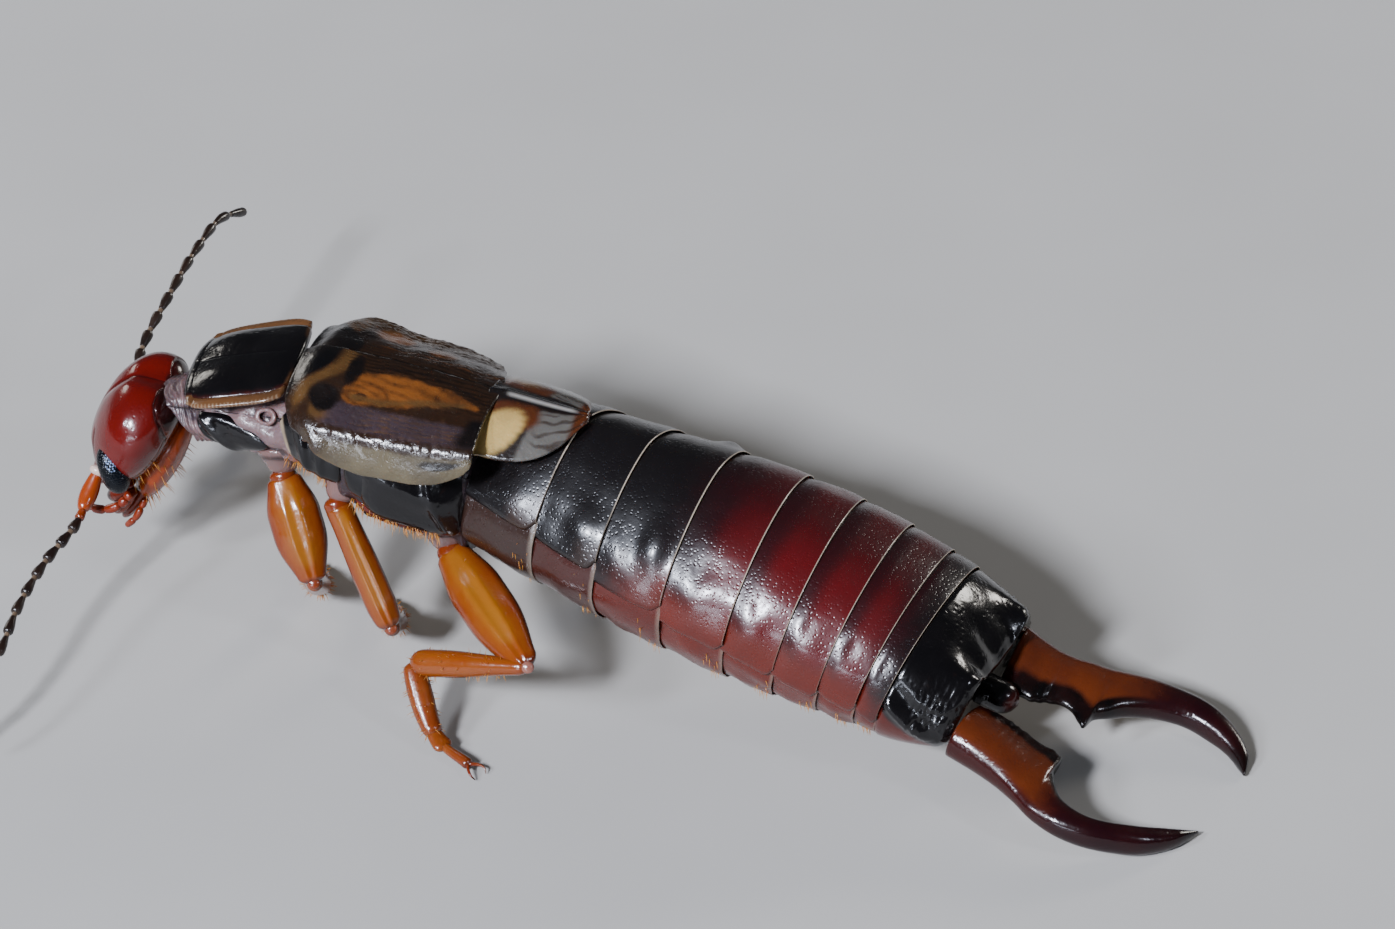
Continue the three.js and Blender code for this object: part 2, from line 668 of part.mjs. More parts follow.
function jaw(side) {
  const curve = line([
    headPoint(side * 0.44, 1.75, -0.16),
    headPoint(side * 0.42, 2.2, -0.16),
    headPoint(side * 0.14, 2.56, -0.12),
  ]);
  const halfWidth = (t) => 0.24 - 0.12 * t;
  const halfHeight = (t) => 0.2 - 0.08 * t;
  return cutBy(limb(curve, 0, 1, halfWidth, halfHeight, { along: 3 }), [headShape, labrumShape]);
}

const leftJaw = jaw(1);
const rightJaw = cutBy(jaw(-1), [leftJaw]);
addPiece('mandible_left', leftJaw, redHorn);
addPiece('mandible_right', rightJaw, redHorn);

function lipLobe(side) {
  const curve = line([
    headPoint(side * 0.28, 1.9, -0.6),
    headPoint(side * 0.36, 2.45, -0.68),
    headPoint(side * 0.27, 2.85, -0.76),
  ]);
  const radius = (t) => 0.22 - 0.08 * t;
  return limb(curve, 0, 1, radius, radius, { along: 3 });
}

const labiumShape = cutBy(
  joined([
    shaped(new THREE.SphereGeometry(1, 8, 6), (v) => (
      headPoint(v.x * 0.56, 1.42 - v.y * 0.9, -0.54 + v.z * 0.3)
    )),
    lipLobe(1),
    lipLobe(-1),
  ]),
  [headShape, prothoraxShape, labrumShape, leftJaw, rightJaw],
);
addPiece('labium', labiumShape, redHorn);

function palp(side) {
  const curve = line([
    headPoint(side * 0.6, 1.86, -0.42),
    headPoint(side * 0.7, 2.12, -0.36),
    headPoint(side * 0.68, 2.42, -0.13),
    headPoint(side * 0.5, 2.66, 0.1),
  ]);
  const radius = (t) => 0.15 - 0.04 * t;
  return cutBy(
    limb(curve, 0, 1, radius, radius, { along: 4 }),
    [headShape, labrumShape, labiumShape, leftJaw, rightJaw],
  );
}

addPiece('palp_left', palp(1), amberHorn);
addPiece('palp_right', palp(-1), amberHorn);

// The neck is soft skin between the head and the first pair of legs
const neckLine = line([
  headPoint(0, 0.42, -0.3),
  at(underPronotum, 0, -0.34, 0.02),
  at(underPronotum, 0, -GAP, 0),
]);
const neckShape = cutBy(
  limb(neckLine, 0, 1, () => 0.52, () => 0.5, { around: 8, along: 2 }),
  [headShape, pronotumShape, prothoraxShape, labiumShape],
);
addPiece('neck', neckShape, paleSkin);

// Each leg has a hip, a thigh, a shin and a foot
const trunkShapes = [prothoraxShape, mesothoraxShape, metathoraxShape, secondRingShape, ...wingCovers];
const THIGH_OUTWARD = new THREE.Vector3(0.73, 0.33, 0.6);

function leg(name, { hip, trochanter, knee, ankle, toes, thigh }) {
  const points = [hip, trochanter, knee, ankle, ...toes].map((joint) => new THREE.Vector3(...joint));
  const outward = THIGH_OUTWARD.clone();
  outward.x *= Math.sign(points[0].x);
  const hipRadius = (t) => 0.42 - 0.14 * t;
  const coxa = cutBy(
    limb(line(points.slice(0, 2)), 0, 1, hipRadius, hipRadius, { around: 7, along: 1 }),
    trunkShapes,
  );
  addPiece(`coxa_${name}`, coxa, paleSkin);
  const spindle = (t) => 0.62 + 0.38 * Math.sin(Math.PI * Math.min(1, 0.12 + 0.95 * t)) ** 0.8;
  const femur = cutBy(
    limb(
      line(points.slice(1, 3)),
      0,
      1,
      (t) => thigh.broad * spindle(t),
      (t) => thigh.thin * spindle(t),
      { around: 8, along: 4, broadSide: outward },
    ),
    [coxa, ...trunkShapes],
  );
  addPiece(`femur_${name}`, femur, amberHorn);
  const shinRadius = () => SHIN_RADIUS;
  const tibia = cutBy(
    onFloor(limb(line(points.slice(2, 4)), 0, 1, shinRadius, shinRadius, { along: 2 })),
    [femur, coxa],
  );
  addPiece(`tibia_${name}`, tibia, amberHorn);
  const secondLink = (t) => 0.07 * Math.exp(-(((t - 0.62) / 0.12) ** 2));
  const footRadius = (t) => FOOT_RADIUS + secondLink(t) - 0.06 * smooth(0.85, 1, t);
  const tarsus = cutBy(
    onFloor(limb(line(points.slice(3)), 0, 1, (t) => footRadius(t) + 0.03, footRadius, { along: 6 })),
    [tibia, femur],
  );
  addPiece(`tarsus_${name}`, tarsus, amberHorn);
}

Object.entries(LEGS).forEach(([name, joints]) => leg(name, joints));

export default earwig;
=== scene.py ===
import functools
import math

import bpy
import numpy as np
from mathutils import Matrix, Vector


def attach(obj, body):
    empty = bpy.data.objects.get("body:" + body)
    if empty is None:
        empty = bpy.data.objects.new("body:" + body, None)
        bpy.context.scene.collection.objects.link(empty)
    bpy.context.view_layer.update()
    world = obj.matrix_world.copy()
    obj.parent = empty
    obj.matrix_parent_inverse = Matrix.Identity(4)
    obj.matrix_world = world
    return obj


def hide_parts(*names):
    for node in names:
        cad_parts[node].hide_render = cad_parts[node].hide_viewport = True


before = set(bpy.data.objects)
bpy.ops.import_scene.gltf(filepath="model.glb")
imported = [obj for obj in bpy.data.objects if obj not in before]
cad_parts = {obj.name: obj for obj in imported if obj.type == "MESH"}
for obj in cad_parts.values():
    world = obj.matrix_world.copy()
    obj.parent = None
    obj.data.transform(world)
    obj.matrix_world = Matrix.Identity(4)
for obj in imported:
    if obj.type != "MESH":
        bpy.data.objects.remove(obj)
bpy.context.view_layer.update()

# The stand. The animal stands on a plain pale table top, far wider than itself, in a studio with soft
# boxes. The camera looks from behind its left side, a hand's width away, through a long close-up lens.
MM = 0.001
LOOK_AT = Vector((-0.485, 0.96, 3.65)) * MM
CAMERA_DISTANCE = 110 * MM
CAMERA_TURN = 24.754      # degrees from the animal's left side toward its tail
CAMERA_RISE = 36.988
CAMERA_ROLL = -2.885
SENSOR_WIDTH = 36
LENS_LENGTH = 198.71
SOFT_BOX_DISTANCE = 260 * MM
TABLE_HALF_WIDTH = 1500
MOTTLE = 5.556            # across one cloud in the laminate, in millimetres
AIR_GLOW = 0.07
SOFT_BOXES = [
    # turn from the left side toward the tail, rise, width, height, watts, light colour
    ("key_box", -12, 37, 36, 40, 1.75, "#eaf0ff"),
    ("second_box", -36, 33, 26, 40, 0.5, "#e6eeff"),
    ("low_box", -4, 9, 90, 22, 0.14, "#e6eeff"),
    ("tail_box", 80, 34, 24, 24, 0.14, "#e6eeff"),
    ("far_tail_box", 152, 20, 60, 60, 0.28, "#fffaf2"),
    ("far_head_box", -118, 18, 60, 60, 0.08, "#fffaf2"),
]


def direction(turn, rise):
    """The way from the animal to a place turned from its left toward its tail, and raised, in degrees."""
    flat = math.cos(math.radians(rise))
    turn = math.radians(turn)
    return Vector((flat * math.cos(turn), flat * math.sin(turn), math.sin(math.radians(rise))))


def linear(hex_colour):
    """An sRGB hex colour as linear red, green, blue and alpha."""
    values = [int(hex_colour[i:i + 2], 16) / 255 for i in (1, 3, 5)]
    return [v / 12.92 if v <= 0.04045 else ((v + 0.055) / 1.055) ** 2.4 for v in values] + [1.0]


def add(tree, kind, inputs=None, **settings):
    """A node with its settings; inputs are plain values or the sockets that feed it."""
    node = tree.nodes.new("ShaderNode" + kind)
    for key, value in settings.items():
        setattr(node, key, value)
    for socket, value in (inputs or {}).items():
        if isinstance(value, bpy.types.NodeSocket):
            tree.links.new(value, node.inputs[socket])
        else:
            node.inputs[socket].default_value = value
    return node


def new_finish(name):
    """A material with an empty node tree, and that tree."""
    finish = bpy.data.materials.new(name)
    finish.use_nodes = True
    finish.node_tree.nodes.clear()
    return finish, finish.node_tree


camera_data = bpy.data.cameras.new("camera")
camera_data.sensor_width = SENSOR_WIDTH
camera_data.lens = LENS_LENGTH
camera_data.clip_start = MM
camera = bpy.data.objects.new("camera", camera_data)
bpy.context.collection.objects.link(camera)
toward_camera = direction(CAMERA_TURN, CAMERA_RISE)
camera_turn = toward_camera.to_track_quat("Z", "Y").to_matrix()
camera_turn = camera_turn @ Matrix.Rotation(math.radians(CAMERA_ROLL), 3, "Z")
camera.matrix_world = (
    Matrix.Translation(LOOK_AT + toward_camera * CAMERA_DISTANCE) @ camera_turn.to_4x4()
)
bpy.context.scene.camera = camera

for name, turn, rise, width, height, watts, colour in SOFT_BOXES:
    box_data = bpy.data.lights.new(name, "AREA")
    box_data.shape = "RECTANGLE"
    box_data.size = width * MM
    box_data.size_y = height * MM
    box_data.energy = watts
    box_data.color = linear(colour)[:3]
    box = bpy.data.objects.new(name, box_data)
    bpy.context.collection.objects.link(box)
    box_way = direction(turn, rise)
    box.location = LOOK_AT + box_way * SOFT_BOX_DISTANCE
    box.rotation_euler = box_way.to_track_quat("Z", "Y").to_euler()

studio = bpy.data.worlds.new("studio_air")
studio.use_nodes = True
studio.node_tree.nodes["Background"].inputs["Color"].default_value = linear("#dbe3ee")
studio.node_tree.nodes["Background"].inputs["Strength"].default_value = AIR_GLOW
bpy.context.scene.world = studio

# Matt laminate: a dry pale sheet with a trace of mottling, no gloss
laminate, tree = new_finish("pale_laminate")
place = add(tree, "TexCoord").outputs["Object"]
cloud = add(tree, "TexNoise", {"Vector": place, "Scale": 1 / (MOTTLE * MM), "Detail": 3.0})
tone = add(tree, "Mix", {"Factor": cloud.outputs["Fac"], "A": linear("#989590"), "B": linear("#a3a09b")},
           data_type="RGBA")
shader = add(tree, "BsdfPrincipled", {"Base Color": tone.outputs["Result"], "Roughness": 0.75})
add(tree, "OutputMaterial", {"Surface": shader.outputs["BSDF"]})
table_mesh = bpy.data.meshes.new("table_top")
edge = TABLE_HALF_WIDTH * MM
table_mesh.from_pydata([(-edge, -edge, 0), (edge, -edge, 0), (edge, edge, 0), (-edge, edge, 0)], [],
                       [(0, 1, 2, 3)])
table_mesh.materials.append(laminate)
table_top = bpy.data.objects.new("table_top", table_mesh)
bpy.context.collection.objects.link(table_top)

# Rings two to nine of the abdomen. Each is a hard back plate that wraps far round the sides, and a belly
# plate tucked under its edge. Each slides under the one in front. Hard cuticle, black in front and maroon
# behind, finely pitted, with a thin cream membrane at the rear margin.
CENTRE_OFFSET = np.array([-0.485, 0.96, 0])    # puts the middle of the whole box over the origin
ABDOMEN_START = (0.02, -1.81, 2.42)
SECOND_RING_LENGTH = 1.3
RING_LENGTHS = [0.95, 1.01, 0.98, 0.8, 0.72, 0.63, 0.38]
ABDOMEN_LENGTH = sum(RING_LENGTHS)
ABDOMEN_HALF_WIDTH = (1.57, 1.77, 1.59)
ABDOMEN_BACK = (1.56, 1.42, 1.1)
ABDOMEN_BELLY = (0.95, 1.42, 1.17)
ABDOMEN_YAW = (-8, 0.5, -4)
ABDOMEN_PITCH = (-3, -11, -19)
ABDOMEN_ROLL = 2.5
ABDOMEN_STEP = 0.05
ABDOMEN_MEAN_RADIUS = 1.5
PLATE_CORNERS = [70, 76, 87, 98, 102, 105, 105, 106]    # degrees from the top to the rear corner
PLATE_THICKNESS = 0.018
RAGGED_EDGE = 0.16        # size of the raggedness at a marking's edge, in millimetres
BLOTCH = 0.5              # size of the cloudy blotches in the cuticle
CHITIN_IOR = 1.56
RIM_ROUNDING = 0.35       # how far a plate's rim swells past its edge, by its thickness


def smooth(start, end, value):
    """A soft step from none at the start to one at the end."""
    t = np.clip((value - start) / (end - start), 0, 1)
    return t * t * (3 - 2 * t)


def through(values, t):
    """A smooth line through values at the start, the middle and the end."""
    s = np.clip(t, 0, 1)
    start, middle, end = values
    return start * (1 - s) * (1 - 2 * s) + 4 * middle * s * (1 - s) + end * s * (2 * s - 1)


def bump(value, middle, width):
    """A soft hill, one high at its middle."""
    return np.exp(-((value - middle) / width) ** 2)


class Place:
    """A place on the body with its own directions: left, tailward and up."""

    def __init__(self, centre, yaw, pitch, roll=0):
        turn = Matrix.Rotation(math.radians(yaw), 3, "Z") @ Matrix.Rotation(math.radians(pitch), 3, "X")
        self.turn = np.array(turn @ Matrix.Rotation(math.radians(-roll), 3, "Y"))
        self.centre = np.array(centre, float)

    def at(self, x, y, z):
        return self.centre + np.stack(np.broadcast_arrays(x, y, z), -1) @ self.turn.T


def abdomen_place(distance):
    """The middle of the curved abdomen at a distance behind the second ring, walked in small steps."""
    steps = max(1, round(abs(distance) / ABDOMEN_STEP))
    place = Place(ABDOMEN_START, ABDOMEN_YAW[0], ABDOMEN_PITCH[0], ABDOMEN_ROLL)
    for i in range(steps + 1):
        share = distance * i / steps / ABDOMEN_LENGTH
        place = Place(place.centre, through(ABDOMEN_YAW, share), through(ABDOMEN_PITCH, share), ABDOMEN_ROLL)
        if i < steps:
            place.centre = place.centre + place.turn[:, 1] * distance / steps
    return place


def unit(ways):
    return ways / (np.linalg.norm(ways, axis=-1, keepdims=True) + 1e-12)


def sheet_normal(points):
    return unit(np.cross(np.gradient(points, axis=0), np.gradient(points, axis=1)))


def oval(angle, half_width, back, belly, back_power=2.2, belly_power=2.2):
    """Sideways and upward places on a squared oval, by the angle from its top."""
    side, rise = np.sin(angle), np.cos(angle)
    power = np.where(rise > 0, back_power, belly_power)
    return (half_width * np.sign(side) * np.abs(side) ** (2 / power),
            np.where(rise > 0, back, belly) * np.sign(rise) * np.abs(rise) ** (2 / power))


def abdomen_point(distance, angle, lift=0.0):
    """Points of one ring round the abdomen, lifted off the outline by a height in millimetres."""
    share = distance / ABDOMEN_LENGTH
    shrink = 1 - 0.12 * smooth(0, 1.4, -distance)
    x, z = oval(angle, through(ABDOMEN_HALF_WIDTH, share) * shrink, through(ABDOMEN_BACK, share) * shrink,
                through(ABDOMEN_BELLY, share) * shrink, 1.62 + 0.48 * smooth(0, 1, share),
                2 + 0.15 * smooth(0, 1, share))
    grow = 1 + lift / ABDOMEN_MEAN_RADIUS
    return abdomen_place(distance).at(x * grow, 0, z * grow)


def ripple(points, size, seed, waves=12):
    """Gentle unevenness of about unit height, with bumps of a given size, the same on each run."""
    draw = np.random.default_rng(seed)
    total = 0
    for _ in range(waves):
        way = draw.normal(size=3)
        way /= np.linalg.norm(way) * size
        total = total + np.sin(points @ way * 2 * np.pi * draw.uniform(0.7, 1.4) + draw.uniform(0, 6.3))
    return total / math.sqrt(waves / 2)


def sheet_faces(rows, columns, closed=False):
    """Four-cornered faces over a grid of points, whose rows may close to rings."""
    a = np.arange((rows - 1) * columns).reshape(rows - 1, columns)
    b = np.roll(a, -1, 1)
    quads = np.stack([a, b, b + columns, a + columns], -1)
    return (quads if closed else quads[:, :-1]).reshape(-1, 4).tolist()


def outward(points, faces):
    """The faces of a closed body, turned to point out."""
    volume = 0
    for corners in faces:
        first = points[corners[0]]
        for k in range(1, len(corners) - 1):
            volume += first @ np.cross(points[corners[k]], points[corners[k + 1]])
    return [list(reversed(corners)) for corners in faces] if volume < 0 else faces


def shell(top, thickness, **marks):
    """A closed thin plate under a sheet of points, with a rounded rim."""
    rows, columns = top.shape[:2]
    thickness = np.broadcast_to(thickness, (rows, columns))[..., None]
    bottom = top - sheet_normal(top) * thickness
    index = np.arange(rows * columns).reshape(rows, columns)
    loop = np.concatenate([index[0], index[1:, -1], index[-1, -2::-1], index[-2:0:-1, 0]])
    inner = np.clip(np.stack(np.unravel_index(loop, (rows, columns))), 1, [[rows - 2], [columns - 2]])
    edge_points = top.reshape(-1, 3)[loop]
    way = unit(edge_points - top[inner[0], inner[1]])
    edge_depth = thickness.reshape(-1, 1)[loop]
    rim = (edge_points + bottom.reshape(-1, 3)[loop]) / 2 + way * edge_depth * RIM_ROUNDING
    points = np.vstack([top.reshape(-1, 3), bottom.reshape(-1, 3), rim])
    count, ring = rows * columns, len(loop)
    faces = sheet_faces(rows, columns)
    faces += [[corner + count for corner in reversed(face)] for face in faces]
    for k in range(ring):
        after = (k + 1) % ring
        upper, lower = 2 * count + k, 2 * count + after
        faces.append([loop[after], loop[k], upper, lower])
        faces.append([lower, upper, count + loop[k], count + loop[after]])
    full = {}
    for key, value in marks.items():
        value = np.broadcast_to(value, (rows, columns)).ravel()
        full[key] = np.concatenate([value, value, value[loop]])
    return points, outward(points, faces), full


def make(name, parts, finish, nodes=()):
    """One piece from closed parts given in millimetres, riding on the body."""
    keys = sorted({key for part in parts for key in part[2]})
    points = np.vstack([part[0] for part in parts])
    points[:, 2] = np.maximum(points[:, 2], 0)
    faces = []
    start = 0
    for part in parts:
        faces += [[int(corner) + start for corner in face] for face in part[1]]
        start += len(part[0])
    mesh = bpy.data.meshes.new(name)
    mesh.from_pydata(((points + CENTRE_OFFSET) * MM).tolist(), [], faces)
    mesh.polygons.foreach_set("use_smooth", [True] * len(faces))
    for key in keys:
        values = np.concatenate([part[2].get(key, np.zeros(len(part[0]))) for part in parts])
        mesh.attributes.new(key, "FLOAT", "POINT").data.foreach_set("value", values.astype(np.float32))
    mesh.materials.append(finish)
    piece = bpy.data.objects.new(name, mesh)
    bpy.context.collection.objects.link(piece)
    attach(piece, "root")
    if nodes:
        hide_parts(*nodes)
    return piece


def cuticle(name, ground, markings, cloudy, wrinkles, roughness, pits=(0.06, 0.0), coat=0.2, glow=0.0,
            depth=0.25, shine=0.35):
    """Insect cuticle, a hard horny skin with a waxy gloss. Markings are (mark, colour, ragged edge), and
    cloudy is (colour, strength). Pits and wrinkles are (size, height) in millimetres, and glow is how
    much light goes through, down to a depth in millimetres."""
    finish, tree = new_finish(name)
    place = add(tree, "TexCoord").outputs["Object"]
    ragged = add(tree, "TexNoise", {"Vector": place, "Scale": 1 / (RAGGED_EDGE * MM), "Detail": 4.0})
    blotch = add(tree, "TexNoise", {"Vector": place, "Scale": 1 / (BLOTCH * MM), "Detail": 5.0})
    colour = linear(ground)
    for mark, hex_colour, rag in markings:
        share = add(tree, "Attribute", attribute_name=mark).outputs["Fac"]
        if rag:
            shift = add(tree, "Math", {0: ragged.outputs["Fac"], 1: 0.5}, operation="SUBTRACT")
            moved = add(tree, "Math", {0: shift.outputs[0], 1: rag, 2: share}, operation="MULTIPLY_ADD")
            share = add(tree, "MapRange", {"Value": moved.outputs[0], "From Min": 0.06, "From Max": 0.94},
                        interpolation_type="SMOOTHSTEP").outputs["Result"]
        colour = add(tree, "Mix", {"Factor": share, "A": colour, "B": linear(hex_colour)},
                     data_type="RGBA").outputs["Result"]
    clouds = add(tree, "MapRange", {"Value": blotch.outputs["Fac"], "From Min": 0.35, "From Max": 0.7,
                                    "To Max": cloudy[1]})
    colour = add(tree, "Mix", {"Factor": clouds.outputs["Result"], "A": colour, "B": linear(cloudy[0])},
                 data_type="RGBA").outputs["Result"]
    dull = add(tree, "MapRange", {"Value": blotch.outputs["Fac"], "From Min": 0.3, "From Max": 0.7,
                                  "To Min": roughness[0], "To Max": roughness[1]})
    pit = add(tree, "TexVoronoi", {"Vector": place, "Scale": 1 / (pits[0] * MM)})
    cup = add(tree, "MapRange", {"Value": pit.outputs["Distance"], "From Max": 0.45},
              interpolation_type="SMOOTHSTEP")
    pitted = add(tree, "Bump", {"Height": cup.outputs["Result"], "Distance": pits[1] * MM})
    fold = add(tree, "TexNoise", {"Vector": place, "Scale": 1 / (wrinkles[0] * MM), "Detail": 3.0})
    relief = add(tree, "Bump", {"Height": fold.outputs["Fac"], "Distance": wrinkles[1] * MM,
                                "Normal": pitted.outputs["Normal"]})
    shader = add(tree, "BsdfPrincipled", {
        "Base Color": colour, "Roughness": dull.outputs["Result"], "Normal": relief.outputs["Normal"],
        "IOR": CHITIN_IOR, "Specular IOR Level": shine, "Coat Weight": coat, "Coat Roughness": 0.08,
        "Subsurface Weight": glow, "Subsurface Radius": (1.0, 0.36, 0.14), "Subsurface Scale": depth * MM,
    })
    add(tree, "OutputMaterial", {"Surface": shader.outputs["BSDF"]})
    return finish


# Pitted cuticle. The eye gets black glass in front, red horn behind, and a sparkle from the pits. The
# real pits are about 0.04 mm apart; they are drawn at 0.055 mm so that they show.
ring_horn = cuticle(
    "pitted_ring_cuticle", "#0c090a",
    markings=[("maroon", "#1f0508", 0.3), ("glow", "#46080b", 0.15), ("flank", "#4c1005", 0.3),
              ("brown", "#22130c", 0.5), ("rim", "#b5a592", 0.0)],
    cloudy=("#070506", 0.15), pits=(0.055, 0.0036), wrinkles=(0.16, 0.005), roughness=(0.25, 0.32),
    coat=0.13, glow=0.04, shine=0.45,
)


def lumps(distance, angle, spots):
    """Smooth lumps on the sides of a ring: distance, angle in degrees, length, breadth, height."""
    rise = 0
    for along, round_at, long, broad, height in spots:
        rise = rise + height * bump(distance, along, long) * bump(np.abs(np.degrees(angle)), round_at, broad)
    return rise


# The first two are the tubercles of the third and fourth ring
SIDE_LUMPS = [
    (0.66, 58, 0.2, 9, 0.07), (1.66, 52, 0.17, 12, 0.09), (-0.5, 56, 0.45, 15, 0.05),
]
ring_ends = np.concatenate([[0], np.cumsum(RING_LENGTHS)])
for i in range(3, 8):
    middle = ring_ends[i - 1] + 0.38 * RING_LENGTHS[i - 1]
    SIDE_LUMPS += [(middle, 60, 0.12, 7, -0.018), (middle + 0.06, 74, 0.2, 10, 0.02)]
for i in range(8):
    ring_end = ring_ends[i]
    ring_start = -SECOND_RING_LENGTH if i == 0 else ring_ends[i - 1]
    length = ring_end - ring_start
    rows = np.concatenate([[-0.1 / length, 0], np.linspace(0.06, 0.9, 15), [0.94, 0.97, 0.985, 1]])
    side_steps = np.linspace(-1, 1, 91)
    rear = np.clip(i / 3, 0, 1)
    top = np.zeros((len(rows), len(side_steps), 3))
    marks = {key: np.zeros(top.shape[:2]) for key in ("maroon", "glow", "flank", "brown", "rim")}
    for r, t in enumerate(rows):
        reach = PLATE_CORNERS[i] - 5 * (1 - t) - 7 * smooth(0.8, 1.02, t) ** 2
        angle = np.radians(reach) * side_steps
        degrees = np.abs(np.degrees(angle))
        distance = ring_start + length * t
        ring_points = abdomen_point(distance, angle)
        lift = -0.036 + 0.036 * smooth(-0.05, 0.3, t) + 0.012 * smooth(0.2, 0.9, t)
        lift = lift + lumps(distance, angle, SIDE_LUMPS)
        lift = lift + 0.008 * ripple(ring_points, 0.8, 11 + i) * smooth(20, 60, degrees)
        lift = lift - 0.03 * smooth(0.985, 1.0, np.abs(side_steps))
        top[r] = abdomen_point(distance, angle, lift)
        low = smooth(reach - 38, reach - 8, degrees)
        rings_back = i + t
        marks["maroon"][r] = smooth(2.2, 4.0, rings_back) * (1 - 0.7 * smooth(6.6, 7.9, rings_back))
        marks["glow"][r] = (smooth(2.8, 4.2, rings_back) * (1 - 0.85 * smooth(6.2, 7.6, rings_back))
                            * (0.25 + 0.75 * smooth(0.1, 0.6, t))
                            * (0.45 + 0.55 * smooth(2, 40, degrees)) * (1 - 0.4 * smooth(66, 90, degrees)))
        marks["flank"][r] = smooth(1.6, 3.3, rings_back) * low * (1 - 0.5 * smooth(6.8, 7.8, rings_back))
        marks["brown"][r] = (1 - rear) * smooth(0.5, 0.8, t) * smooth(reach - 22, reach - 6, degrees)
        marks["rim"][r] = smooth(0.985, 1.0, t) * (1 - 0.8 * smooth(reach - 40, reach - 12, degrees))
    back_plate = shell(top, PLATE_THICKNESS, **marks)
    belly_angles = np.linspace(PLATE_CORNERS[i] - 10, 370 - PLATE_CORNERS[i], 61)
    belly_rows = np.concatenate([np.linspace(-0.08, 0.9, 9), [0.95, 1.02]])
    belly = np.zeros((len(belly_rows), len(belly_angles), 3))
    belly_rim = np.zeros(belly.shape[:2])
    for r, t in enumerate(belly_rows):
        distance = ring_start + length * t
        angle = np.radians(belly_angles)
        wave = 0.008 * ripple(abdomen_point(distance, angle), 0.5, 31 + i)
        belly[r] = abdomen_point(distance, angle, -0.075 + 0.035 * smooth(0, 0.5, t) + wave)
        belly_rim[r] = smooth(0.95, 1.0, t)
    belly_plate = shell(belly, PLATE_THICKNESS, rim=belly_rim * 0.25, flank=0.25 + 0.65 * rear,
                        brown=0.75 * (1 - rear), maroon=1.0)
    make(f"ring_{i + 2:02d}", [back_plate, belly_plate], ring_horn,
         [f"abdomen_{i + 2:02d}"])

# Soft skin inside the abdomen. It closes the gaps between the plates, as the folded membrane does in life,
# and lies under them all round.


def once_round(count):
    return np.linspace(0, 2 * np.pi, count, endpoint=False)


def tube(rings, **marks):
    """A closed body through rings of points, with a fan over each end."""
    rows, columns = rings.shape[:2]
    faces = sheet_faces(rows, columns, closed=True)
    points = np.vstack([rings.reshape(-1, 3), rings[0].mean(0), rings[-1].mean(0)])
    first, last = rows * columns, rows * columns + 1
    for k in range(columns):
        after = (k + 1) % columns
        faces.append([after, k, first])
        faces.append([first - columns + k, first - columns + after, last])
    full = {}
    for key, value in marks.items():
        value = np.broadcast_to(value, (rows, columns))
        full[key] = np.concatenate([value.ravel(), [value[0].mean(), value[-1].mean()]])
    return points, outward(points, faces), full


# Folded membrane: soft thin skin. The eye gets greyish pink with a wet, broken gloss. Its dark mark is
# painted shade in the creases of the chest skin, darker toward the neck and by the abdomen, and the dark
# slit of each breathing hole.
membrane_finish = cuticle(
    "folded_joint_membrane", "#6a5453", markings=[("amber", "#7c3d16", 0.7), ("dark", "#140d10", 0.6)],
    cloudy=("#3d2e33", 0.6), wrinkles=(0.12, 0.03), roughness=(0.3, 0.45), coat=0.15, glow=0.25,
)
SKIN_DEPTH = 0.13         # under the outline of the plates
skin_rows = np.linspace(-1.35, ABDOMEN_LENGTH + 0.25, 60)
skin_angles = once_round(64)
inner_skin = np.stack([abdomen_point(distance, skin_angles, -SKIN_DEPTH) for distance in skin_rows])
make("abdomen_inner_skin", [tube(inner_skin, amber=1.0)], membrane_finish)

# Tenth ring: one thick black box of smooth cuticle that holds the muscles of the forceps. Its back slopes
# down to the rear, with a furrow in the middle and a round swelling over each arm's root.
TENTH_RING_LENGTH = 1.02
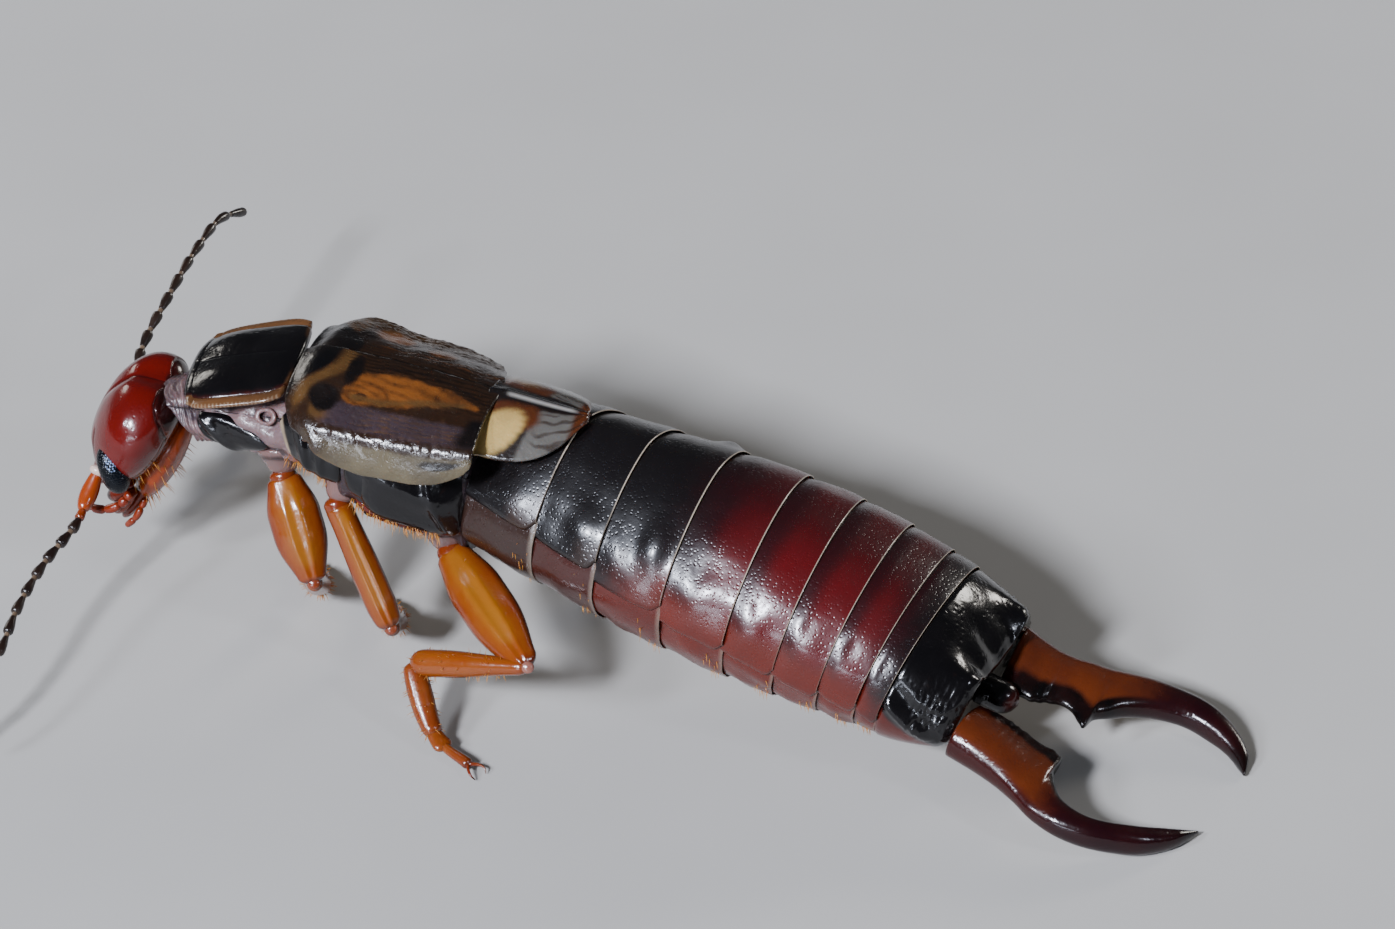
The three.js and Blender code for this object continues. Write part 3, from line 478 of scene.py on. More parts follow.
# Rounds of the closed rear end: share of the last ring's size, place behind it
REAR_ROUNDS = [(0.8835, 0.03), (0.741, 0.0), (0.475, -0.08), (0.0475, -0.1)]
t = np.concatenate([[-0.06], np.linspace(0, 1, 34)])
angle = once_round(108)
tenth = np.zeros((len(t) + len(REAR_ROUNDS), len(angle), 3))
crumple = np.zeros(tenth.shape[:2])
red_belly = np.zeros(tenth.shape[:2])
end_x, end_z = oval(angle, ABDOMEN_HALF_WIDTH[2], ABDOMEN_BACK[2], ABDOMEN_BELLY[2], 2.1, 2.15)
on_back = np.cos(angle) > 0
for r, share in enumerate(t):
    place = abdomen_place(ABDOMEN_LENGTH + TENTH_RING_LENGTH * share)
    way = np.clip(share, 0, 1)
    slope = 1 - np.where(on_back, 0.5, 0.42) * way ** 1.4
    swelling = np.where(on_back, 0.34, 0.1) * way ** 2 * bump(np.abs(end_x), 1.02, 0.36)
    furrow = -0.07 * smooth(0.2, 0.75, way) * bump(end_x, 0, 0.16) * on_back
    hump_edge = -0.03 * smooth(0.4, 0.8, way) * bump(np.abs(end_x), 0.55, 0.1) * on_back
    x = end_x * (1 - 0.1 * way ** 2)
    z = end_z * slope + swelling + furrow + hump_edge
    rounding = 1 - 0.05 * smooth(0.86, 1, way) ** 2 - 0.02 * smooth(0.06, 0, way)
    ring_points = place.at(x * rounding, 0, z * rounding)
    from_top = 180 - np.abs(np.degrees(angle - np.pi))
    crumple[r] = smooth(0.25, 0.6, way) * bump(from_top, 72, 22)
    side_ridge = 0.06 * bump(from_top, 80 + 22 * way, 5) - 0.03 * bump(from_top, 68 + 22 * way, 7)
    side_ridge = side_ridge * smooth(-0.1, 0.15, way) * smooth(0.95, 0.6, way)
    red_belly[r] = smooth(86 + 22 * way, 94 + 22 * way, from_top) * smooth(0.95, 0.75, way)
    wrinkle = 0.026 * ripple(ring_points, 0.085, 61, 24) * crumple[r] + side_ridge
    tenth[r] = ring_points + (ring_points - place.centre) * wrinkle[:, None]
for r, (share, back) in enumerate(REAR_ROUNDS):
    place = abdomen_place(ABDOMEN_LENGTH + TENTH_RING_LENGTH + back)
    tenth[len(t) + r] = place.at(x * share, 0, z * share)
# Smooth cuticle: hard black horn, polished by wear. The eye gets lacquer with small bright highlights.
black_horn = cuticle(
    "smooth_black_cuticle", "#070607",
    markings=[("tan", "#563820", 0.5), ("red", "#4a1108", 0.5), ("pale", "#8c7a64", 0.3)],
    cloudy=("#0b0809", 0.4), pits=(0.1, 0.003), wrinkles=(0.17, 0.009), roughness=(0.14, 0.24), coat=0.2,
    shine=0.3,
)
make("tenth_ring", [tube(tenth, red=red_belly)], black_horn, ["abdomen_10"])

# Forceps: two arms of solid horn. Each has a flat amber root blade with a black toothed inner edge and a
# strong tooth at its end, then a round dark horn that curves in to a point. They rest on the floor.
FORCEPS = Place((0.3, 4.52, 1.0), -3, -14.5)
FLOOR_REACH = 0.02        # horn lower than this rests flat on the floor
# Outer and inner edge of each arm in pairs: behind the root, sideways
LEFT_EDGES = [
    (0, 1.43, 0.07, 0.4), (0.45, 1.5, 0.44, 0.38), (0.85, 1.6, 0.8, 0.46), (1.1, 1.7, 1.1, 0.52),
    (1.25, 1.77, 1.32, 0.54), (1.38, 1.84, 1.47, 0.64), (1.5, 1.89, 1.49, 0.95), (1.65, 1.93, 1.6, 1.18),
    (1.88, 1.96, 1.78, 1.41), (2.15, 1.95, 2.12, 1.52), (2.45, 1.89, 2.4, 1.49), (2.82, 1.74, 2.72, 1.36),
    (3.13, 1.57, 2.98, 1.21), (3.37, 1.34, 3.22, 1.04), (3.55, 1.08, 3.44, 0.9), (3.68, 0.73, 3.66, 0.72),
]
RIGHT_EDGES = [
    (0, 1.39, 0.06, 0.32), (0.3, 1.31, 0.32, 0.2), (0.6, 1.26, 0.6, 0.2), (0.85, 1.28, 0.85, 0.34),
    (1.06, 1.35, 1.06, 0.38), (1.2, 1.4, 1.26, 0.3), (1.35, 1.45, 1.44, 0.16), (1.5, 1.5, 1.5, 0.42),
    (1.66, 1.55, 1.66, 0.6), (1.92, 1.62, 1.9, 0.84), (2.3, 1.66, 2.25, 1.06), (2.72, 1.66, 2.65, 1.17),
    (3.12, 1.54, 3.02, 1.13), (3.48, 1.31, 3.32, 1.04), (3.7, 1.05, 3.56, 0.9), (3.78, 0.74, 3.76, 0.73),
]


def strongest(*shares):
    """The highest of several shares at each point."""
    return functools.reduce(np.maximum, shares)


def spline(points, shares, steps=24):
    """Places along a smooth line through a few points, by share of its length, and that length."""
    p = np.asarray(points, float)
    p = np.vstack([2 * p[0] - p[1], p, 2 * p[-1] - p[-2]])
    bits = []
    for i in range(1, len(p) - 2):
        q = p[i - 1:i + 3]
        k = np.concatenate([[0], np.cumsum(np.linalg.norm(np.diff(q, axis=0), axis=1) ** 0.5)])
        t = np.linspace(k[1], k[2], steps, endpoint=False)[:, None]
        a = [((k[j + 1] - t) * q[j] + (t - k[j]) * q[j + 1]) / (k[j + 1] - k[j]) for j in range(3)]
        b = [((k[j + 2] - t) * a[j] + (t - k[j]) * a[j + 1]) / (k[j + 2] - k[j]) for j in range(2)]
        bits.append(((k[2] - t) * b[0] + (t - k[1]) * b[1]) / (k[2] - k[1]))
    dense = np.vstack([*bits, p[-2][None]])
    walked = np.concatenate([[0], np.cumsum(np.linalg.norm(np.diff(dense, axis=0), axis=1))])
    want = np.asarray(shares) * walked[-1]
    return np.stack([np.interp(want, walked, column) for column in dense.T], -1), walked[-1]


def forceps_arm(side, edges, amber_end):
    """One arm, amber as far as amber_end behind its root."""
    rows, columns = 110, 40
    s = np.linspace(0, 1, rows)
    line, _ = spline(edges, s)
    outer, inner = line[:, :2], line[:, 2:]
    behind = (outer[:, 0] + inner[:, 0]) / 2
    blade = smooth(1.75, 1.25, behind)
    teeth = 0.012 * blade * smooth(0.25, 0.45, behind) * np.sin(behind * 28 + 3 * np.sin(behind * 9))
    way = inner - outer
    width = np.linalg.norm(way, axis=1, keepdims=True)
    inner = inner + way / width * teeth[:, None]
    middle, half = (outer + inner) / 2, (outer - inner) / 2
    high = 0.34 - 0.12 * smooth(0, 0.4, s) - 0.11 * smooth(0.72, 1, s)
    high = np.minimum(high, np.linalg.norm(half, axis=1) * 1.05 + 0.015)
    phi = once_round(columns)
    out, up = np.cos(phi), np.sin(phi)
    across = np.sign(out) * np.abs(out) ** 0.9
    flat = 1 - blade[:, None] * (0.5 * smooth(0.35, -1, out) - 0.06 * bump(out, 0.72, 0.25))
    rise = np.sign(up) * np.abs(up) ** 0.85 * high[:, None] * flat
    behind_at = middle[:, 0:1] + half[:, 0:1] * across
    side_at = middle[:, 1:2] + half[:, 1:2] * across
    points = FORCEPS.at(side * side_at, behind_at, rise)
    points[..., 2] = np.where(points[..., 2] < FLOOR_REACH, 0, points[..., 2])
    along = behind[:, None]
    return tube(
        points,
        amber=smooth(amber_end, 0.55 * amber_end, along) * smooth(0.98, 0.7, out) * smooth(-0.8, -0.4, out),
        black=strongest(smooth(-0.3, -0.6, out) * smooth(0.12, 0.35, along) * smooth(2.4, 1.5, along),
                        0.9 * smooth(3.2, 3.75, along)),
        ember=smooth(2.4, 1.2, along) * 0.7,
    )


# Horn of the forceps: thick solid cuticle, polished. The eye gets amber with depth that darkens to black.
forceps_horn = cuticle(
    "amber_to_black_horn", "#180508",
    markings=[("ember", "#2c0907", 0.4), ("amber", "#4c200d", 0.35), ("black", "#050404", 0.3)],
    cloudy=("#240806", 0.35), pits=(0.07, 0.002), wrinkles=(0.14, 0.006), roughness=(0.17, 0.26), coat=0.12,
    glow=0.1, depth=0.3, shine=0.25,
)
for side, edges, amber_end, name in ((1, LEFT_EDGES, 2.05, "left"), (-1, RIGHT_EDGES, 2.6, "right")):
    make(f"forceps_arm_{name}", [forceps_arm(side, edges, amber_end)], forceps_horn,
         [f"forceps_{name}"])

# The small tail plate between the roots of the forceps: a stub of the same black cuticle as the tenth ring,
# fixed under its rear edge, with a blunt reddish end.
phi = once_round(28)
t = np.linspace(0, 1, 14)[:, None]
stub = np.sqrt(np.maximum(1 - np.clip(t - 0.55, 0, 1) ** 2 / 0.2025, 0.02))
plate_points = FORCEPS.at(0.25 * stub * np.cos(phi), -0.12 + 0.6 * t, 0.24 * stub * np.sin(phi))
make("tail_plate", [tube(plate_points, red=0.5 * smooth(0.6, 1, t))], black_horn,
     ["pygidium"])

# Wing covers: two thin leathery plates that meet in a straight suture. Each has a fold along its side, and
# a translucent skirt hanging from it. Brown, black and tan cuticle, thin enough to let some light through.
THORAX = Place((0.1, -2.95, 4.32), 5, -5.3)
COVER_LENGTH = 3.0
COVER_HALF_WIDTH = 1.38
COVER_FOLD = 0.74
COVER_THICKNESS = 0.07
# Cover cuticle: thin leathery plate, finely wrinkled. The eye gets worn polished leather, brown on black.
cover_finish = cuticle(
    "leathery_wing_cover", "#21130a",
    markings=[("purple", "#30262a", 0.7), ("orange", "#633815", 0.9), ("core", "#28140a", 0.7),
              ("tan", "#493219", 0.7), ("streak", "#120904", 0.4), ("skirt", "#4d4431", 0.5),
              ("black", "#060506", 0.5), ("line", "#100804", 0.0)],
    cloudy=("#150b06", 0.45), pits=(0.06, 0.003), wrinkles=(0.07, 0.009), roughness=(0.2, 0.32),
    coat=0.2, glow=0.05, shine=0.45,
)


def patch(across, along, middle, half):
    """A soft-edged oval patch: one in its middle, a half on its edge."""
    off = ((across - middle[0]) / half[0]) ** 2 + ((along - middle[1]) / half[1]) ** 2
    return smooth(1.65, 0.35, off)


def wing_cover(side):
    """One cover. The far side's lies flatter and is shorter at its rear corner."""
    across = np.concatenate([np.linspace(0, COVER_FOLD - 0.03, 42), np.linspace(COVER_FOLD - 0.02, 1, 26)])
    along = np.linspace(0, 1, 96)[:, None]
    shoulder = 1 - 0.07 * smooth(0.3, 0, along) ** 2
    half_width = COVER_HALF_WIDTH * shoulder * (1 - 0.05 * smooth(0.7, 1, along))
    on_top = np.minimum(across / COVER_FOLD, 1)
    down = np.maximum(across - COVER_FOLD, 0) / (1 - COVER_FOLD)
    near_side = 0.5 + 0.5 * side
    far_side = 1 - near_side
    round_end = np.sqrt(1 - 0.98 * np.clip((along - 0.72) / 0.28, 0, 1) ** 2)
    skirt = 0.5 * (0.02 + smooth(-0.05, 0.5, along)) ** 0.7 * round_end
    level = 1 - near_side * 0.36 * smooth(0.35, 1, along) + far_side * 0.3 * smooth(0.5, 1, along)
    drop = 0.38 * on_top ** 1.8 * level + skirt * down
    front_drop = 0.16 * smooth(0.16, 0, along) ** 2
    slant = (0.45 * smooth(0.35, 1, across) ** 1.5 * smooth(0.32, 0, along) ** 1.3
             - (0.02 + 0.2 * far_side) * on_top * along ** 6 - 0.06 * np.sin(np.pi * on_top) * along ** 8
             - 0.25 * far_side * on_top ** 3 * smooth(0.75, 1, along))
    ridge = 0.02 * bump(across, COVER_FOLD - 0.02, 0.05) * smooth(0.02, 0.2, along)
    hollow = (0.03 * bump(across, 0.5, 0.16) * smooth(0.1, 0.4, along)
              + 0.07 * smooth(0.55, 1, along) * (1 - 0.6 * on_top)
              + 0.14 * far_side * on_top * smooth(0.15, 0.5, along)
              + 0.05 * bump(across, 0.83, 0.05) * bump(along, 0.85, 0.13))
    seam = -0.015 * bump(across, 0, 0.03)
    x = half_width * on_top + 0.13 * round_end * np.sin(np.pi * 0.5 * down)
    y = COVER_LENGTH * (along - 1) + slant - 0.03 * bump(across, 0, 0.06) * smooth(0.9, 1, along)
    z = ridge + seam - drop - front_drop - hollow
    soft = np.exp(-(np.linspace(-2, 2, 15)) ** 2)
    for sheet in (x, z):
        held = np.pad(sheet, ((0, 0), (7, 7)), mode="reflect", reflect_type="odd")
        sheet[:] = np.apply_along_axis(np.convolve, 1, held, soft / soft.sum(), "valid")
    points = THORAX.at(side * (0.01 + np.maximum(x, 0)), y, z)
    normal = sheet_normal(points)
    points = points + normal * side * 0.006 * ripple(points, 0.45, 71)[..., None]
    grain = ripple(points, 0.1, 73, 24) * (0.35 + 0.65 * smooth(0.45, 0.6, across)) * smooth(0.1, 0.25, along)
    grain = grain * (1 - 0.8 * smooth(0.05, 0.3, down))
    points = points + normal * side * 0.0045 * grain[..., None]
    u, v = np.broadcast_arrays(across, along)
    wander = 0.02 * ripple(points, 0.6, 77)
    leaf_top = np.interp(v, [0.26, 0.3, 0.36, 0.6, 0.77, 0.96], [0.37, 0.27, 0.19, 0.13, 0.17, 0.28])
    leaf_foot = np.interp(v, [0.26, 0.32, 0.48, 0.71, 0.96], [0.41, 0.47, 0.48, 0.38, 0.31])
    leaf = smooth(-0.03, 0.03, u + wander - leaf_top) * smooth(0.03, -0.03, u + wander - leaf_foot)
    leaf = leaf * smooth(0.25, 0.3, v) * smooth(0.98, 0.93, v)
    swirl = 32 * np.hypot(2.8 * (u - 0.42), v - 0.36) + 90 * wander
    veins = 0.5 + 0.5 * np.sin(swirl)
    long_streaks = 0.5 + 0.5 * np.sin(u * 150 + 110 * wander + 6 * v)
    band = smooth(0.46, 0.54, u) * smooth(0.74, 0.69, u)
    front_edge = 0.19 - 0.19 * smooth(0.1, 0.55, u) + 0.5 * wander
    marks = {
        "tan": strongest(
            bump(v, front_edge + 0.05 + 0.04 * u, 0.045) * smooth(0.68, 0.5, u),
            0.75 * bump(u, leaf_foot - 0.04, 0.035) * smooth(0.28, 0.34, v) * smooth(0.95, 0.85, v),
            # the second term here, on the skirt's lower edge, is a painted rim light
            0.5 * band * long_streaks * smooth(0.3, 0.45, v), 0.6 * bump(down, 0.97, 0.06),
            0.7 * smooth(0.1, 0.16, v) * smooth(0.3, 0.2, v) * bump(u, 0.63, 0.09),
        ),
        "orange": leaf * (0.5 + 0.5 * veins),
        "core": strongest(patch(u, v, (0.42, 0.37), (0.035, 0.035)),
                          0.45 * bump(np.hypot((u - 0.4) / 0.09, (v - 0.4) / 0.1), 1, 0.18) * leaf),
        "streak": (0.9 * smooth(0.35, 0.8, long_streaks) * (1 - leaf) * smooth(0.45, 0.3, u)
                   * smooth(0.18, 0.3, v)),
        "skirt": smooth(0.04, 0.3, down) * (0.3 + 0.7 * smooth(0.15, 0.55, v)),
        "purple": band * smooth(0.12, 0.26, v),
        "black": strongest(
            patch(u, v, (0.5, 0.2), (0.12, 0.075)), smooth(0.02, -0.02, v - front_edge),
            0.85 * patch(u, v, (0.2, 0.29), (0.16, 0.04)),
            0.6 * bump(u, leaf_top - 0.05, 0.02) * smooth(0.3, 0.4, v),
            0.9 * smooth(0.86, 0.96, v + 0.1 * (u - 0.5)) * patch(u, v, (0.56, 0.98), (0.16, 0.22)),
            0.8 * patch(u, v, (0.84, 0.85), (0.045, 0.11)),
        ),
        "line": strongest(0.8 * bump(u, 0, 0.012), 0.3 * bump(v, 1, 0.01)),
    }
    if side < 0:
        oval_spot = patch(u, v, (0.44, 0.36), (0.13, 0.1))
        rim_line = bump(((u - 0.44) / 0.15) ** 2 + ((v - 0.36) / 0.12) ** 2, 1, 0.4)
        marks["orange"] = strongest(oval_spot, 0.7 * patch(u, v, (0.35, 0.62), (0.1, 0.08)),
                                    0.5 * veins * bump(u, 0.2, 0.08) * smooth(0.2, 0.4, v))
        marks["core"] = 0.8 * rim_line
        marks["purple"] = 0 * u
        marks["streak"] = 0.8 * smooth(0.4, 0.85, long_streaks) * (1 - oval_spot) * smooth(0.7, 0.5, u)
        marks["tan"] = strongest(0.5 * smooth(0.3, 0.6, u) * smooth(0.1, 0.2, v),
                                 0.8 * patch(u, v, (0.5, 0.14), (0.2, 0.08)))
        marks["black"] = strongest(smooth(0.02, -0.02, v - front_edge - 0.07),
                                   0.6 * patch(u, v, (0.3, 0.24), (0.1, 0.05)))
    return shell(points, COVER_THICKNESS, **marks)


SIDES = ((1, "left"), (-1, "right"))
for side, name in SIDES:
    make(f"wing_cover_{name}", [wing_cover(side)], cover_finish, [f"tegmen_{name}"])

# Wing tips: the folded hind wings stick out behind the covers as two pointed leathery ovals, with a cream
# spot in an orange-brown field, a black band along the middle and a grey glossy rear part. A pale line on
# the near one's middle ridge is a painted highlight.
WING = Place((0.1, -2.95, 4.32), 5, -9)
TIP_THICKNESS = 0.06
# Wing tip cuticle: smooth thin leathery plate. The eye gets varnish over cream, brown and grey, and a
# painted highlight in the pale mark.
tip_finish = cuticle(
    "glossy_wing_tip", "#17100d",
    markings=[("grey", "#4f4c47", 0.5), ("brown", "#44200c", 0.6), ("cream", "#a98c52", 0.3),
              ("streak", "#20120a", 0.4), ("black", "#070506", 0.3), ("pale", "#aaa59e", 0.0)],
    cloudy=("#191210", 0.3), pits=(0.09, 0.002), wrinkles=(0.08, 0.006), roughness=(0.18, 0.3), coat=0.3,
    glow=0.1, shine=0.45,
)


def tip_plate(side):
    """One wing tip; the far one shows little of its cream spot."""
    across = np.linspace(0, 1, 44)
    along = np.concatenate([np.linspace(-0.16, 0.9, 40), np.linspace(0.915, 0.995, 10)])[:, None]
    width = 0.96 * np.sqrt(np.maximum(1 - np.maximum(along, 0) ** 2.6, 0.004))
    out = width * across / 0.96
    dome = 0.03 * bump(across, 0.55, 0.3) * smooth(0, 0.3, along)
    ridge = 0.02 * bump(across, 0.05, 0.07)
    z = -0.05 - 0.45 * out ** 1.7 + dome + ridge - 0.03 * smooth(0.02, -0.1, along)
    points = WING.at(side * (0.01 + width * across), 0.02 + 1.27 * along, z)
    u, v = np.broadcast_arrays(across, along)
    away = np.hypot((u - 0.66) / 0.46, (v - 0.12 + 0.3 * (u - 0.6)) / 0.33)
    spot = smooth(1.02, 0.5, away)
    halo = smooth(1.4, 0.95, away) * smooth(0.75, 0.4, u)
    spokes = np.arctan2(v + 0.05, u - 0.5) * 24 + ripple(points, 0.3, 79)
    fan = smooth(0.4, 0.95, 0.5 + 0.5 * np.sin(spokes))
    painted_ridge_highlight = bump(u, 0.07, 0.025)
    marks = {
        "brown": strongest(halo, 0.85 * smooth(0.8, 0.97, v)),
        "grey": smooth(0.42, 0.56, v + 0.1 * u) * smooth(0.95, 0.84, v) * smooth(0.16, 0.3, u),
        "cream": spot * (1 - 0.25 * fan * smooth(0.3, 0.9, away)) * (0.95 if side > 0 else 0.3),
        # painted highlight along the middle ridge of the near tip
        "pale": 0.6 * painted_ridge_highlight * smooth(0.02, 0.1, v) * smooth(0.92, 0.8, v) * (side > 0),
        "streak": 0.6 * fan * smooth(0.4, 0.6, v) * smooth(0.2, 0.3, u),
        "black": strongest(smooth(0.22, 0.1, u) * (1 - painted_ridge_highlight),
                           0.8 * smooth(0.3, 0.1, u) * smooth(0.6, 0.3, v)),
    }
    return shell(points, TIP_THICKNESS, **marks)


for side, name in SIDES:
    make(f"wing_tip_plate_{name}", [tip_plate(side)], tip_finish, [f"wing_tip_{name}"])

# Pronotum: the neck shield, one thin plate of cuticle with a swollen black middle, a fine furrow down it,
# and flat tan side margins that let light through.
PRONOTUM = Place((0.38, -6.93, 4.05), 11, 14.5)
across = np.linspace(-1, 1, 110)
along = np.linspace(-1, 1, 120)[:, None]
corner = 0.93 + 0.07 * np.cos(across * np.pi * 0.5)
sides = (1 + 0.03 * (1 - along ** 2)) * (1 - 0.1 * np.abs(along) ** 5)
half_width = 1.025 * (0.965 + 0.035 * along) * sides
outward_share = np.abs(across)
swollen = 0.16 * (1 - outward_share ** 2.4) * (1 - 0.5 * along ** 4)
swollen = swollen + 0.05 * bump(outward_share, 0.42, 0.28) * bump(along, -0.35, 0.45)
furrow = 0.025 * bump(across, 0, 0.025) * smooth(0.9, 0.5, np.abs(along))
gutter = 0.04 * bump(outward_share, 0.8, 0.07) * (1 - along ** 6)
upturned = 0.08 * outward_share ** 8 + 0.02 * bump(along, -0.96, 0.05)
points = PRONOTUM.at(across * half_width, along * 0.8 * corner, swollen + upturned - furrow - gutter - 0.2)
margin = smooth(0.74, 0.86, outward_share)
shield = shell(
    points, 0.06 + 0.08 * (1 - outward_share ** 4),
    red=0.45 * smooth(0.68, 0.78, outward_share) * (1 - margin),
    tan=strongest(margin, 0.5 * smooth(0.9, 1, along) * smooth(0.3, 0.6, outward_share)),
    pale=0.5 * smooth(0.96, 0.975, outward_share) * (0.5 + 0.5 * np.sin(along * 75)),
)
make("neck_shield", [shield], black_horn, ["pronotum"])

# The chest: soft folded skin from the neck to the abdomen, which the hard side plates float in. It is
# greyish pink and orange-brown, with painted shade in its sunk creases, darker toward the neck and dark by
# the abdomen, and stays under the wing covers and the shield.
HEAD = Place((0.45, -8.18, 3.5), 9, 62)
UNDER_SHIELD = Place(PRONOTUM.at(0, -0.72, -0.72), 11, 18)
FORE_CHEST = Place(THORAX.at(0, -2.75, -1.28), 6, -2)
MID_CHEST = Place(THORAX.at(0, -1.45, -1.6), 3, -9)
HIND_CHEST = Place(abdomen_place(-SECOND_RING_LENGTH).at(0, -0.03, 0), -6, -3)
CHEST_STATIONS = [
    # place, its middle, half width, height above and below
    (HEAD, HEAD.at(0, -0.3, -0.28), 0.42, 0.42, 0.4),
    (UNDER_SHIELD, UNDER_SHIELD.at(0, -0.34, 0.02), 0.52, 0.5, 0.5),
    (UNDER_SHIELD, UNDER_SHIELD.centre, 0.62, 0.5, 0.5),
    (FORE_CHEST, FORE_CHEST.centre, 0.96, 0.8, 0.58),
    (MID_CHEST, MID_CHEST.centre, 1.28, 1.1, 0.74),
    (HIND_CHEST, HIND_CHEST.centre, 1.36, 1.2, 0.84),
]
rows = np.array([[*middle, *place.turn[:, 0], *place.turn[:, 2], wide, back, belly]
                 for place, middle, wide, back, belly in CHEST_STATIONS])
fine = np.linspace(0, 1, 201)
window = np.exp(-(np.linspace(-2, 2, 25)) ** 2)
CHEST_LINE = []
for column in rows.T:
    value = np.interp(fine, np.linspace(0, 1, len(rows)), column)
    padded = np.pad(value, len(window) // 2, mode="reflect", reflect_type="odd")
    CHEST_LINE.append(np.convolve(padded, window / window.sum(), mode="valid"))


def chest_point(along, degrees, lift=0.0):
    """Points on the chest, by the way along it and the angle from its top toward the left."""
    along, degrees, lift = np.broadcast_arrays(along, degrees, lift)
    values = [np.interp(along, fine, column) for column in CHEST_LINE]
    centre, left, up = (np.stack(values[i:i + 3], -1) for i in (0, 3, 6))
    x, z = oval(np.radians(degrees), values[9] + lift, values[10] + lift, values[11] + lift)
    return centre + left * x[..., None] + up * z[..., None]


along = np.linspace(0, 1, 130)[:, None]
degrees = np.linspace(0, 360, 120, endpoint=False)
flat_skin = chest_point(along, degrees)
from_top = np.minimum(degrees, 360 - degrees)
creases = 0.016 * np.sin(along * 120 + 2.4 * ripple(flat_skin, 0.7, 83)) * smooth(0.42, 0.28, along)
unevenness = ripple(flat_skin, 0.42, 84)
skin = chest_point(along, degrees, creases + 0.028 * unevenness * smooth(20, 60, from_top) - 0.02)
amber_belly = 0.85 * smooth(0.5, 0.66, along) * smooth(70, 105, from_top)
# painted shade where the skin is sunk in creases; darker toward the neck, and dark by the abdomen
crease_shade_and_dark_skin = strongest(0.75 * smooth(-0.35, -1.3, unevenness), 0.55 * smooth(0.3, 0.15, along),
                         0.95 * smooth(0.58, 0.68, along))
make("chest_skin", [tube(skin, amber=amber_belly, dark=crease_shade_and_dark_skin)], membrane_finish,
     ["neck", "prothorax", "mesothorax", "metathorax"])

# Side and belly plates of the chest: smooth black cuticle with a thin pale front edge, and a dark red-brown
# border below. Their rims are sunk in the chest skin, which holds them.
CHEST_MM = (1 / 5.3, 62)    # share of the way and degrees for one millimetre on the chest
RIM_SINK = 0.05             # of a plate, into the skin


def dome(surface, middle, half, turn, height, square=2.5, rows=14, around=48, scale=(1, 1), **marks):
    """A rounded plate that lies on a surface, as a closed body with its rim sunk in."""
    share = np.sin(np.linspace(np.pi / 2, 0.03, rows))[:, None]
    phi = once_round(around)
    u = share * np.sign(np.cos(phi)) * np.abs(np.cos(phi)) ** (2 / square)
    v = share * np.sign(np.sin(phi)) * np.abs(np.sin(phi)) ** (2 / square)
    tilt = math.radians(turn)
    first = middle[0] + scale[0] * (half[0] * u * math.cos(tilt) - half[1] * v * math.sin(tilt))
    second = middle[1] + scale[1] * (half[0] * u * math.sin(tilt) + half[1] * v * math.cos(tilt))
    height = height(u, v) if callable(height) else height
    lift = -RIM_SINK + (height + RIM_SINK) * np.sqrt(1 - share ** 4)
    marks = {key: value(u, v) if callable(value) else value for key, value in marks.items()}
    return tube(surface(first, second, lift), **marks)


def front_fold(u, v):
    return 0.07 + 0.05 * bump(v, 0.1 + 0.4 * u, 0.22) - 0.03 * bump(v, 0.5 + 0.3 * u, 0.15)


def middle_fold(u, v):
    return 0.08 + 0.07 * bump(u, -0.35, 0.2) + 0.05 * bump(u + 0.2 * v, 0.3, 0.2)


def rear_fold(u, v):
    return 0.1 + 0.09 * bump(v, -0.12 + 0.2 * u, 0.3) + 0.07 * bump(u - 0.5 * v, 0.55, 0.13)


def chest_side(side):
    """The surface of the chest on one side, for plates and holes made in pairs."""
    return lambda along, degrees, lift: chest_point(along, side * degrees, lift)


SIDE_PLATES = [
    # middle by share and degrees, half size in millimetres, turn, height, pale front edge
    ((0.425, 89), (0.52, 0.44), 48, front_fold, 0.0), ((0.632, 72), (0.38, 0.54), -10, middle_fold, 0.9),
    ((0.745, 72), (0.18, 0.4), -8, 0.05, 0.3), ((0.88, 75), (0.66, 0.54), 0, rear_fold, 0.0),
]
chest_parts = []
for side, _ in SIDES:
    for middle, half, turn, height, edge in SIDE_PLATES:
        chest_parts.append(dome(
            chest_side(side), middle, half, turn, height, square=3.3, rows=30, around=72, scale=CHEST_MM,
            pale=lambda u, v: edge * smooth(-0.76, -0.9, u) * smooth(0.95, 0.6, np.abs(v)),
            red=lambda u, v: 0.6 * smooth(0.6, 0.95, v),
        ))
    chest_parts.append(dome(chest_side(side), (0.845, 106), (0.53, 0.14), 4, 0.05, scale=CHEST_MM, red=1.0))
for middle, half in [((0.42, 180), (0.09, 36)), ((0.64, 180), (0.09, 44)), ((0.86, 180), (0.11, 52))]:
    chest_parts.append(dome(chest_point, middle, half, 0, 0.05, square=3.0, red=0.8, tan=0.5))
make("chest_plates", chest_parts, black_horn)

